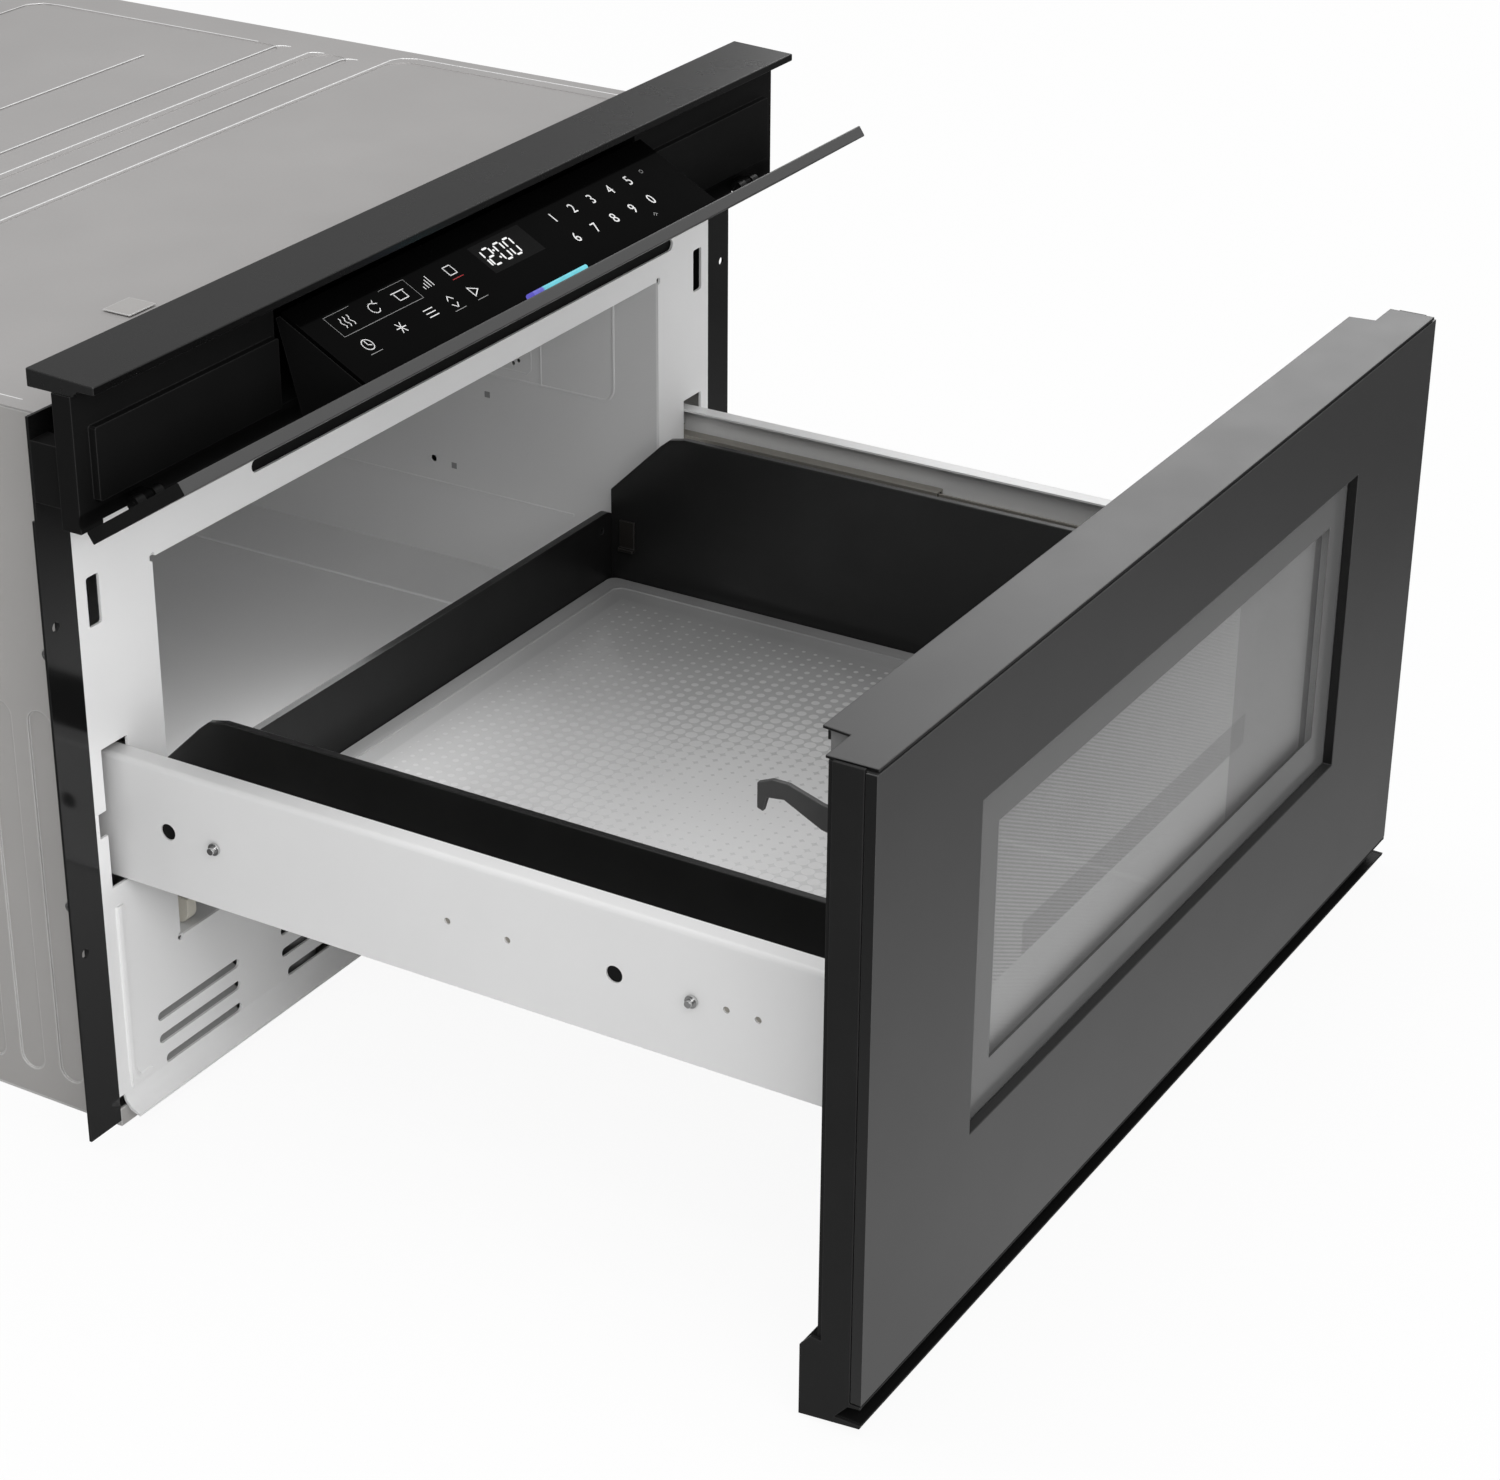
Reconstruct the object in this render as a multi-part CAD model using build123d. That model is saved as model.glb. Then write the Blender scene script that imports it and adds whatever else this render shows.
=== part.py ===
from build123d import *
from math import asin, cos, pi, radians, sin, sqrt, tan
import os

# Built-in microwave drawer, 24 inch class, shown with its drawer and its control flap open.
# While it is modelled, X runs left to right seen from the front, Y runs from the room into the
# cabinet with Y = 0 on the face of the white front frame, and Z = 0 is the underside of the base.
# Each piece is moved to the part's own frame when it is written: that origin lies on the seat
# of the mounting flanges, in the middle of their four screw holes.
# All lengths are millimetres and all angles are degrees.

# ---------------------------------------------------------------- cabinet
cabinet_width = 560.0
cabinet_height = 378.0
cabinet_depth = 549.0
cabinet_sheet = 1.0
frame_sheet = 1.5
base_lip_height = 10.0
lip_bend_z = 17.0
lip_tip_z = 8.0
lip_end_inset = 4.0
lip_clearance = 1.4
bead_width = 15.0
bead_pitch = 25.5
bead_depth = 1.2
bead_low = 16.0
bead_top_space = 155.0
bead_first_y = 30.0
bead_count = 4
corner_bead_width = 4.0
corner_bead_height = 1.0
corner_bead_out = 2.5
corner_bead_toe = 16.0
corner_bead_low = 18.0
corner_bead_length = 103.0
top_bead_round = 14.0
top_front_field = (18.0, 22.0, 205.5)
top_cross_bead = (29.0, 228.0, 254.5)
top_rear_field = (30.0, 278.0, 474.5)
top_island = (85.0, 340.0, 450.0)

# ---------------------------------------------------------------- mounting flanges
flange_inset = 0.4
flange_low = 3.5
flange_above = 8.0
flange_return = 14.0
flange_return_sheet = 0.8
flange_hole_radius = 2.5
flange_hole_low = 107.2
flange_hole_pitch = 173.4
flange_hole_out = 15.0

# ---------------------------------------------------------------- cavity
cavity_side_space = 54.7
cavity_floor = 82.5
cavity_roof_drop = 38.1
cavity_rear_space = 115.5
wall_hole_size = 4.0
wall_hole_upper = (121.0, 195.5)
wall_hole_lower = (147.0, 144.0)
wall_hole_round = (162.0, 145.8)
wall_hole_radius = 2.2
antenna_hole_radius = 68.0
antenna_y = 300.0
roof_bead_front = 120.0
roof_bead_pitch = 160.0
roof_bead_half = 90.0
roof_bead_width = 12.0
roof_bead_depth = 0.4
floor_rib_inset = 53.8
floor_rib_width = 7.0
floor_rib_height = 1.0
floor_rib_margin = 24.0

# ---------------------------------------------------------------- front frame openings
latch_inset = 12.0
latch_slot_width = 9.0
latch_slot_drop = 56.5
latch_slot_height = 25.4
rail_slot_inner_gap = 11.2
rail_slot_outer_gap = 7.9
rail_slot_below = 36.1
rail_slot_above = 39.1
rail_notch = 5.6
rail_notch_height = 13.4
vent_slot_left = 147.5
vent_slot_right_inset = 38.7
vent_slot_rise = 14.4
vent_slot_height = 6.9
louvre_length = 65.0
louvre_height = 5.2
louvre_pitch = 13.0
louvre_low = 17.0
louvre_inner_inset = 133.0
louvre_outer_inset = 33.0

# ---------------------------------------------------------------- fascia group: visor, housing, flap
fascia_overhang = 23.2
fascia_front = 41.6
visor_above = 32.7
visor_front_fall = 1.8
visor_thickness = 9.0
visor_lip = 4.1
visor_rear_gap = 3.0
housing_front = 27.7
housing_depth = 10.9
housing_below_flap = 1.7
housing_wall = 2.0
panel_box_rise = 13.4
panel_box_height = 35.4
panel_box_inset = 10.2
panel_box_proud = 4.0
boss_width = 12.0
boss_rise = 9.2
boss_height = 30.0
pocket_side_gap = 1.1
pocket_wall = 1.5
pocket_gap = 1.9

flap_visor_gap = 1.8
flap_height = 65.5
flap_thickness = 6.5
flap_open_angle = 56.65
hinge_behind_flap = 1.5
hinge_above_low = 4.2
hinge_inset = 38.2
hinge_pin_radius = 1.5
hinge_pin_play = 0.05
hinge_ear_width = 6.0
hinge_lug_width = 6.0
glass_angle = 28.16
glass_length = 54.7
glass_thickness = 2.5
wedge_half = 157.5
wedge_below_flap_top = 7.0
wedge_tip = 5.0
wedge_above_flap_low = 12.5
light_bar_width = 48.0

# ---------------------------------------------------------------- drawer travel and door
drawer_travel = 391.4
door_low = 16.7
door_flap_gap = 10.2
door_panel_depth = 5.5
door_skin = 1.0
door_seam = 0.4
window_side_margin = 95.2
window_rise = 87.3
window_drop = 56.0
window_glass_thickness = 3.5
window_lap = 4.0
core_inset = 28.2
core_rear = 37.0
core_sheet = 1.2
screen_margin = 16.0
screen_depth = 14.2
inner_cover_thickness = 2.0
inner_cover_lap = 14.0
top_cap_thickness = 1.5
top_cap_step_wide = 5.3
top_cap_step_lean = 1.7
top_cap_step_y = 25.0
end_cap_wall = 2.0
end_cap_depth = 20.5
end_cap_flange = 2.8
end_cap_fit = 0.2
end_cap_proud = 0.2
foot_depth = 31.1
foot_low = 1.3
foot_high = 38.4
foot_slope = 6.2
lip_front_low = 4.4
lip_front_high = 6.2
groove_depth = 13.1
groove_high = 14.8
groove_roof_fall = 0.7

# ---------------------------------------------------------------- drawer tub
tub_side_gap = 11.7
tub_wall = 4.5
tub_above_cover = 1.45
tub_rear = 456.5
tub_above_floor = 14.3
tub_back_height = 51.6
tub_back_wall = 4.6
tub_slope_drop = 41.3
tub_slope_start_drop = 7.1
tub_slope_y = 422.0
tub_round_y = 406.0
tray_rise = 9.5
tray_thickness = 5.0
tray_ledge = 12.0
tray_ledge_sheet = 1.5
tray_gap = 0.4
tray_corner = 6.0
tray_border = 10.0
tray_rim_width = 1.8
tray_rim_height = 0.8
tray_slope = 8.0
tray_dish = 2.2
clip_width = 10.0
clip_height = 19.0
clip_thickness = 1.5
glide_width = 7.0
glide_length = 22.0

# ---------------------------------------------------------------- telescopic rails
rail_cover_inset = 15.9
rail_cover_sheet = 1.2
rail_cover_below = 33.4
rail_cover_above = 33.65
rail_cover_bend = 3.0
rail_hole_radius = 4.3
rail_hole_places = (402.2, 150.3)
rail_pilot_radius = 1.7
rail_pilot_places = (240.4, 207.5, 92.4, 76.3)
rail_screw_places = (374.0, 109.8)
rail_screw_drop = 0.8
rail_screw_radius = 1.8
rail_nut_radius = 3.2
rail_nut_height = 1.6
rail_screw_length = 4.2
rail_cover_lip = 10.9
rail_cover_inside = 30.0
rail_axis_z = 168.0
slide_sheet = 1.2
slide_height = 45.0
bracket_depth = 23.9
slide_fixed_flange = 9.0
slide_end_gap = 1.5
slide_nest_gap = 3.2
slide_middle_height = 35.6
slide_middle_flange = 7.6
slide_middle_length = 400.0
slide_middle_front = 168.0
slide_drawer_height = 26.0
slide_drawer_flange = 6.7
slide_drawer_length = 412.0
slide_race_gap = 0.4
bracket_height = 36.0

# ---------------------------------------------------------------- drive
gear_module = 2.0
pinion_teeth = 16
pressure_angle = 20.0
gear_backlash = 0.25
rack_x = -110.0
rack_low = 55.0
rack_height = 12.0
rack_back = 7.0
pinion_y = 24.0
motor_radius = 30.0
motor_height = 36.0
motor_low = 9.0
motor_foot = 12.0
shaft_radius = 4.0
shaft_play = 0.05

# ---------------------------------------------------------------- latches
latch_plate = 2.4
latch_pivot_y = 25.0
latch_pivot_rise = 3.2
latch_pin_radius = 2.0
latch_tip_y = 75.0
latch_side_gap = 0.4
latch_ear = 2.0
latch_tip_rise = 16.0
latch_play = 0.05
latch_board_y = 38.0
latch_board_length = 74.0
switch_height = 16.0

# ---------------------------------------------------------------- microwave parts
antenna_radius = 58.0
antenna_thickness = 1.5
antenna_well_depth = 20.5
antenna_well_radius = 75.0
waveguide_width = 80.0
waveguide_height = 21.0
waveguide_wall = 1.0
waveguide_rear_space = 19.0
antenna_shaft_radius = 3.0
fan_radius = 48.0
fan_bore = 51.0
fan_frame = 114.0
fan_depth = 24.0
fan_blades = 5
fan_x = -190.0
fan_z = 250.0
fan_hub_radius = 15.0
fan_motor_radius = 23.0
fan_motor_depth = 26.0
coupling_radius = 12.0
cover_thickness = 2.5
antenna_motor_radius = 24.0
antenna_motor_height = 22.0
magnetron_rear_space = 65.0
magnetron_half = 44.0
magnetron_height = 62.0
magnetron_fins = 6
transformer_x = 165.0
transformer_rear_space = 54.0
transformer_width = 84.0
transformer_depth = 60.0
transformer_height = 70.0
winding_overhang = 14.0
winding_width = 58.0
capacitor_offset = 78.0
capacitor_height = 62.0
capacitor_length = 44.0
capacitor_width = 26.0
board_width = 250.0
board_depth = 120.0
board_front_y = 70.0
board_sheet = 1.6
board_post = 8.0
relay_length = 30.0
relay_width = 20.0
relay_height = 16.0
lamp_y = 101.6
lamp_above_bracket = 37.9
lamp_hole_radius = 1.3
lamp_hole_pitch = 4.4
bushing_x = 200.0
bushing_drop = 48.0
bushing_radius = 9.0

# ---------------------------------------------------------------- worked-out places
half_width = cabinet_width / 2
half_fascia = half_width + fascia_overhang
flange_outer = half_fascia - flange_inset
flange_hole_x = half_width + flange_hole_out
origin_y = frame_sheet
origin_z = flange_hole_low + flange_hole_pitch / 2
cavity_half = half_width - cavity_side_space
rear_inside = cabinet_depth - cabinet_sheet
cavity_rear = cabinet_depth - cavity_rear_space
visor_rear_top = cabinet_height + visor_above
visor_front_top = visor_rear_top - visor_front_fall
flap_high = visor_front_top - visor_lip - flap_visor_gap
flap_low = flap_high - flap_height
housing_low = flap_low - housing_below_flap
panel_box_low = housing_low + panel_box_rise
panel_box_high = panel_box_low + panel_box_height
boss_low = housing_low + boss_rise
boss_high = boss_low + boss_height
wedge_top = flap_high - wedge_below_flap_top
wedge_low = flap_low + wedge_above_flap_low
door_top = flap_low - door_flap_gap
cavity_roof = door_top - cavity_roof_drop
flange_high = cabinet_height + flange_above
bead_high = cabinet_height - bead_top_space
latch_slot_low = door_top - latch_slot_drop
latch_pivot_z = latch_slot_low + latch_pivot_rise
latch_tip_top = latch_pivot_z + latch_tip_rise
vent_slot_low = cavity_roof + vent_slot_rise
rail_slot_low = rail_axis_z - rail_slot_below
rail_slot_high = rail_axis_z + rail_slot_above
rail_cover_low = rail_axis_z - rail_cover_below
rail_cover_top = rail_axis_z + rail_cover_above
window_low = door_low + window_rise
window_high = door_top - window_drop
tub_low = cavity_floor + tub_above_floor
tub_top = rail_cover_top + tub_above_cover
tub_back_top = tub_low + tub_back_height
tub_slope_low = tub_top - tub_slope_drop
tub_slope_high = tub_top - tub_slope_start_drop
tray_top = tub_low + tray_rise
waveguide_end = cabinet_depth - waveguide_rear_space
magnetron_y = cabinet_depth - magnetron_rear_space
transformer_y = cabinet_depth - transformer_rear_space
lamp_z = rail_axis_z + bracket_height / 2 + lamp_above_bracket
bushing_z = cabinet_height - bushing_drop
top_inside = cabinet_height - cabinet_sheet
side_inside = half_width - cabinet_sheet
latch_x = half_width - latch_inset
hinge_x = half_fascia - hinge_inset
pocket_half = wedge_half + pocket_side_gap
panel_box_outer = half_fascia - panel_box_inset
vent_slot_right = half_width - vent_slot_right_inset
lip_half = half_width - lip_end_inset
lip_reach = fascia_front - foot_depth - lip_clearance
window_half = half_fascia - window_side_margin
core_half = half_fascia - core_inset
top_cap_half = half_fascia - end_cap_wall - end_cap_fit
top_cap_step_x = core_half + top_cap_step_wide
tub_half = cavity_half - tub_side_gap
rail_cover_outer = half_width - rail_cover_inset
rail_slot_inner = rail_cover_outer - rail_slot_inner_gap
rail_slot_outer = rail_cover_outer + rail_slot_outer_gap
slide_web_x = cavity_half + cabinet_sheet + bracket_depth
slide_middle_web_x = slide_web_x + slide_nest_gap
flap_outer_y = -fascia_front
flap_inner_y = flap_outer_y + flap_thickness
hinge_y = flap_inner_y + hinge_behind_flap
hinge_z = flap_low + hinge_above_low
wall_front_y = -housing_front
wall_back_y = wall_front_y + housing_wall
housing_rear_y = wall_front_y + housing_depth
visor_under = visor_rear_top - visor_thickness
door_y = -fascia_front - drawer_travel
core_rear_y = door_y + core_rear
tub_front_y = core_rear_y + inner_cover_thickness
tub_rear_y = door_y + tub_rear
tub_inner = tub_half - tub_wall
tray_low = tray_top - tray_thickness
rail_rear_y = rail_cover_inside
rail_inner_face = rail_cover_outer - rail_cover_sheet
well_low = cavity_floor - cabinet_sheet - antenna_well_depth
waveguide_low = well_low - waveguide_height
pitch_radius = gear_module * pinion_teeth / 2
motor_x = rack_x - pitch_radius
glass_fall = tan(radians(glass_angle))
tip_y = flap_inner_y + glass_length * cos(radians(glass_angle))
tip_z = wedge_top - glass_length * sin(radians(glass_angle))
pocket_radius = sqrt((tip_y - hinge_y) ** 2 + (tip_z - hinge_z) ** 2) + pocket_gap


# ---------------------------------------------------------------- helpers
def block(x0, x1, y0, y1, z0, z1):
    """Box between two corners."""
    return Pos((x0 + x1) / 2, (y0 + y1) / 2, (z0 + z1) / 2) * Box(x1 - x0, y1 - y0, z1 - z0)


def face_of(points):
    return make_face(Polyline(*points, close=True))


def prism_x(points, x0, x1):
    """Profile of (y, z) points, extruded along X."""
    return extrude(Plane.YZ.offset(x0) * face_of(points), amount=x1 - x0)


def prism_y(points, y0, y1):
    """Profile of (x, z) points, extruded along Y."""
    plane = Plane(origin=(0, y0, 0), x_dir=(1, 0, 0), z_dir=(0, -1, 0))
    return extrude(plane * face_of(points), amount=-(y1 - y0))


def prism_z(points, z0, z1):
    """Profile of (x, y) points, extruded along Z."""
    return extrude(Plane.XY.offset(z0) * face_of(points), amount=z1 - z0)


def rod_x(radius, x0, x1, y, z):
    return Pos((x0 + x1) / 2, y, z) * Rot(0, 90, 0) * Cylinder(radius, abs(x1 - x0))


def rod_y(radius, y0, y1, x, z):
    return Pos(x, (y0 + y1) / 2, z) * Rot(90, 0, 0) * Cylinder(radius, abs(y1 - y0))


def rod_z(radius, z0, z1, x, y):
    return Pos(x, y, (z0 + z1) / 2) * Cylinder(radius, abs(z1 - z0))


def slot_y(x0, x1, y0, y1, z0, z1):
    """Round-ended slot cutter through a sheet that faces Y."""
    length = max(x1 - x0, z1 - z0)
    width = min(x1 - x0, z1 - z0)
    turn = 0 if x1 - x0 > z1 - z0 else 90
    plane = Plane(origin=((x0 + x1) / 2, y0, (z0 + z1) / 2), x_dir=(1, 0, 0), z_dir=(0, -1, 0))
    return extrude(plane * Rot(0, 0, turn) * SlotOverall(length, width), amount=-(y1 - y0))


def slot_x(y0, y1, x0, x1, z0, z1):
    """Round-ended vertical slot shape on a sheet that faces X."""
    plane = Plane.YZ.offset(x0)
    spot = Pos((y0 + y1) / 2, (z0 + z1) / 2)
    return extrude(plane * spot * Rot(0, 0, 90) * SlotOverall(z1 - z0, y1 - y0), amount=x1 - x0)


def both(solid):
    """A piece with its mirror image fused to it or beside it."""
    return solid + mirror(solid, about=Plane.YZ)


# ---------------------------------------------------------------- cabinet
def base_pan():
    plate = block(-half_width, half_width, 0, cabinet_depth, 0, cabinet_sheet)
    lip = block(-half_width, half_width, 0, frame_sheet, 0, base_lip_height)
    return plate + lip


def side_panel_right():
    panel = block(side_inside, half_width, frame_sheet, rear_inside, cabinet_sheet, top_inside)
    groups = (bead_first_y, cabinet_depth - bead_first_y - (bead_count - 1) * bead_pitch)
    for start in groups:
        for index in range(bead_count):
            y = start + index * bead_pitch
            grow = cabinet_sheet
            panel += slot_x(y - bead_width / 2 - grow, y + bead_width / 2 + grow,
                            side_inside - bead_depth, side_inside, bead_low - grow, bead_high + grow)
            panel -= slot_x(y - bead_width / 2, y + bead_width / 2,
                            half_width - bead_depth, half_width, bead_low, bead_high)
    return panel


def top_bead(x_half, y0, y1, depth):
    """Rounded rectangular depression in the top panel: the metal to add below and the cut above."""
    radius = min(top_bead_round, (y1 - y0) / 2 - 0.5)
    centre = Pos(0, (y0 + y1) / 2)
    outer = centre * RectangleRounded(2 * x_half + 2 * depth, y1 - y0 + 2 * depth, radius + depth)
    inner = centre * RectangleRounded(2 * x_half, y1 - y0, radius)
    add = extrude(Plane.XY.offset(top_inside - depth) * outer, amount=depth)
    cut = extrude(Plane.XY.offset(cabinet_height - depth) * inner, amount=depth)
    return add, cut


def top_panel():
    panel = block(-half_width, half_width, frame_sheet, cabinet_depth, top_inside, cabinet_height)
    for inset, y0, y1 in (top_front_field, top_cross_bead, top_rear_field):
        add, cut = top_bead(half_width - inset, y0, y1, bead_depth * 0.6)
        panel = panel + add - cut
    inset, y0, y1 = top_island
    panel += raised_field(half_width - inset, y0, y1)
    reach = hinge_y + pocket_radius + pocket_wall
    panel -= block(-pocket_half - 4, pocket_half + 4, 0, reach, top_inside - 5, cabinet_height + 5)
    return panel


def raised_field(x_half, y0, y1):
    """Flat island inside the rear depression of the top panel."""
    outline = Pos(0, (y0 + y1) / 2) * RectangleRounded(2 * x_half, y1 - y0, 10.0)
    low = cabinet_height - cabinet_sheet - bead_depth * 0.6
    return extrude(Plane.XY.offset(low) * outline, amount=cabinet_height - low)


def rear_panel():
    panel = block(-side_inside, side_inside, rear_inside, cabinet_depth, cabinet_sheet, top_inside)
    for row in range(5):
        z = fan_z - 2 * 16 + row * 16
        panel -= slot_y(fan_x - 40, fan_x + 40, rear_inside - 1, cabinet_depth + 1, z - 4, z + 4)
    panel -= rod_y(bushing_radius, rear_inside - 1, cabinet_depth + 1, bushing_x, bushing_z)
    return panel


def pocket_solid(half, radius, below, y_front):
    """Space that the control wedge swings through, round-backed about the hinge."""
    floor_front = wedge_low - pocket_gap - below
    floor_rear = tip_z - wedge_tip - pocket_gap - below
    start = asin((floor_rear - hinge_z) / radius)
    end = pi / 2 - asin((y_front - hinge_y) / radius)
    rear, middle, top = (hinge_arc_point(radius, angle) for angle in (start, (start + end) / 2, end))
    outline = Polyline(top, (y_front, floor_front), rear) + ThreePointArc(rear, middle, top)
    return extrude(Plane.YZ.offset(-half) * make_face(outline), amount=2 * half)


def hinge_arc_point(radius, angle):
    return hinge_y + radius * cos(angle), hinge_z + radius * sin(angle)


def control_housing():
    tray = block(-half_fascia, half_fascia, wall_front_y, housing_rear_y, housing_low, visor_under)
    tray -= block(-half_fascia + housing_wall, half_fascia - housing_wall, wall_back_y,
                  housing_rear_y + 1, housing_low + housing_wall, visor_under - housing_wall)
    box = block(pocket_half + 2, panel_box_outer, wall_front_y - panel_box_proud, wall_front_y,
                panel_box_low, panel_box_high)
    box = chamfer(box.edges().filter_by(Axis.Y), 0.8)
    tray += both(box)
    tray -= both(block(hinge_x + 4.8, hinge_x + 23.0, wall_front_y - 1, housing_rear_y + 1,
                       housing_low - 1, housing_low + 2.6))
    tray -= both(block(hinge_x - 4.8, hinge_x + 4.8, wall_front_y - 1, housing_rear_y + 1,
                       housing_low - 1, housing_low + 2.0))
    tray += pocket_solid(pocket_half + pocket_wall, pocket_radius + pocket_wall, pocket_wall, wall_front_y)
    tray -= pocket_solid(pocket_half, pocket_radius, 0, wall_front_y - 1)
    for inner in (pocket_half + pocket_wall, half_fascia - housing_wall - boss_width):
        tray += both(block(inner, inner + boss_width, wall_back_y, 0, boss_low, boss_high))
    ear_radius = hinge_ear_radius()
    ear = rod_x(ear_radius, hinge_x - hinge_ear_width / 2, hinge_x + hinge_ear_width / 2,
                hinge_y, hinge_z)
    ear += block(hinge_x - hinge_ear_width / 2, hinge_x + hinge_ear_width / 2, hinge_y, wall_front_y,
                 hinge_z - ear_radius, hinge_z + ear_radius)
    tray += both(ear)
    bore = rod_x(hinge_pin_radius + hinge_pin_play, hinge_x - hinge_ear_width, hinge_x + hinge_ear_width,
                 hinge_y, hinge_z)
    tray -= both(bore)
    return tray


def hinge_ear_radius():
    return hinge_pin_radius + 1.7


def front_frame():
    frame = block(-half_width, half_width, 0, frame_sheet, lip_bend_z, top_inside) + frame_lip()
    low, high = -1, frame_sheet + 1
    frame -= block(-cavity_half, cavity_half, low, high, cavity_floor, cavity_roof)
    for x in (-cavity_half, cavity_half):
        for z in (cavity_floor, cavity_roof):
            frame -= rod_y(2.2, low, high, x, z)
    openings = block(latch_x - latch_slot_width / 2, latch_x + latch_slot_width / 2, low, high,
                     latch_slot_low, latch_slot_low + latch_slot_height)
    openings = fillet(openings.edges().filter_by(Axis.Y), 1.5)
    openings += block(rail_slot_inner, rail_slot_outer, low, high, rail_slot_low, rail_slot_high)
    openings += block(rail_slot_outer, rail_slot_outer + rail_notch, low, high,
                      rail_axis_z - rail_notch_height / 2, rail_axis_z + rail_notch_height / 2)
    for row in range(3):
        z = louvre_low + row * louvre_pitch
        inset = 4.0 if row == 0 else 0.0
        for end in (half_width - louvre_inner_inset, half_width - louvre_outer_inset):
            openings += slot_y(end - louvre_length, end - inset, low, high, z, z + louvre_height)
    frame -= both(openings)
    frame -= slot_y(-vent_slot_left, vent_slot_right, low, high, vent_slot_low,
                    vent_slot_low + vent_slot_height)
    frame -= block(-pocket_half - 4, pocket_half + 4, low, high, wedge_low - 8, cabinet_height)
    frame -= block(rack_x - 7, rack_x + rack_back + 3, low, high, rack_low - 3, rack_low + rack_height + 3)
    return frame + both(corner_bead())


def frame_lip():
    """Lower edge of the frame, rolled out towards the room."""
    bend_y, bend_z = 0.15 * lip_reach, lip_bend_z - 0.42 * (lip_bend_z - lip_tip_z)
    turn_y, turn_z = 0.45 * lip_reach, lip_bend_z - 0.76 * (lip_bend_z - lip_tip_z)
    t = frame_sheet
    outline = [(0, lip_bend_z), (-bend_y, bend_z), (-turn_y, turn_z), (-lip_reach, lip_tip_z),
               (-lip_reach + 0.2, lip_tip_z - t), (-turn_y + 0.7 * t, turn_z - t),
               (-bend_y + 0.95 * t, bend_z - 0.4 * t), (t, lip_bend_z)]
    return prism_x(outline, -lip_half, lip_half)


def corner_bead():
    """Raised L-shaped stiffening bead at each lower corner of the frame."""
    side = latch_x + corner_bead_out
    inside = side - corner_bead_width
    low = corner_bead_low
    upright = block(inside, side, -corner_bead_height, 0, low + 2.0, low + corner_bead_length)
    toe = block(side - corner_bead_toe, side, -corner_bead_height, 0, low, low + corner_bead_width)
    return upright + toe


def mounting_flange_right():
    plate = block(half_width, flange_outer, 0, frame_sheet, flange_low, flange_high)
    plate -= block(flange_outer - 1.6, flange_outer + 1, -1, frame_sheet + 1, housing_low, flange_high + 1)
    plate += block(half_width, half_width + flange_return_sheet, frame_sheet, flange_return,
                   flange_low, cabinet_height)
    for row in range(2):
        z = flange_hole_low + row * flange_hole_pitch
        plate -= rod_y(flange_hole_radius, -1, frame_sheet + 1, flange_hole_x, z)
    return plate


# ---------------------------------------------------------------- cavity
def cavity_roof_panel():
    roof = block(-cavity_half - cabinet_sheet, cavity_half + cabinet_sheet, frame_sheet,
                 cavity_rear + cabinet_sheet, cavity_roof, cavity_roof + cabinet_sheet)
    for row in range(2):
        y = roof_bead_front + row * roof_bead_pitch
        roof -= block(-roof_bead_half, roof_bead_half, y, y + roof_bead_width,
                      cavity_roof + cabinet_sheet - roof_bead_depth, cavity_roof + cabinet_sheet + 1)
    return roof


def cavity_floor_panel():
    floor = block(-cavity_half - cabinet_sheet, cavity_half + cabinet_sheet, frame_sheet,
                  cavity_rear + cabinet_sheet, cavity_floor - cabinet_sheet, cavity_floor)
    floor -= rod_z(antenna_hole_radius, cavity_floor - 5, cavity_floor + 5, 0, antenna_y)
    x = cavity_half - floor_rib_inset
    rib = block(x - floor_rib_width / 2, x + floor_rib_width / 2, frame_sheet + floor_rib_margin,
                cavity_rear - floor_rib_margin, cavity_floor, cavity_floor + floor_rib_height)
    return floor + both(chamfer(rib.edges().group_by(Axis.Z)[-1], floor_rib_height * 0.8))


def cavity_wall_right():
    wall = block(cavity_half, cavity_half + cabinet_sheet, frame_sheet, cavity_rear,
                 cavity_floor, cavity_roof)
    wall -= rod_x(lamp_hole_radius, cavity_half - 1, cavity_half + 2, lamp_y, lamp_z)
    for spot in PolarLocations(lamp_hole_pitch, 6, start_angle=28.5):
        wall -= rod_x(lamp_hole_radius, cavity_half - 1, cavity_half + 2, lamp_y + spot.position.X,
                      lamp_z + spot.position.Y)
    reach = wall_hole_size / 2
    for y, z in (wall_hole_upper, wall_hole_lower):
        wall -= block(cavity_half - 1, cavity_half + 2, y - reach, y + reach, z - reach, z + reach)
    y, z = wall_hole_round
    return wall - rod_x(wall_hole_radius, cavity_half - 1, cavity_half + 2, y, z)


def cavity_back_panel():
    return block(-cavity_half - cabinet_sheet, cavity_half + cabinet_sheet, cavity_rear,
                 cavity_rear + cabinet_sheet, cavity_floor, cavity_roof)


# ---------------------------------------------------------------- visor
def visor():
    rear = -visor_rear_gap
    front = -fascia_front
    profile = [(rear, visor_rear_top), (front, visor_front_top), (front, visor_front_top - visor_lip),
               (front + 10.0, visor_front_top - visor_lip - 0.2), (wall_front_y - 1.0, visor_under),
               (rear, visor_under)]
    top = prism_x(profile, -half_fascia, half_fascia)
    return top


# ---------------------------------------------------------------- flap, modelled closed
def flap_turn(solid):
    """Swing a closed-position flap piece about the hinge to the open position."""
    axis = Axis((0, hinge_y, hinge_z), (1, 0, 0))
    return solid.rotate(axis, flap_open_angle)


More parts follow.
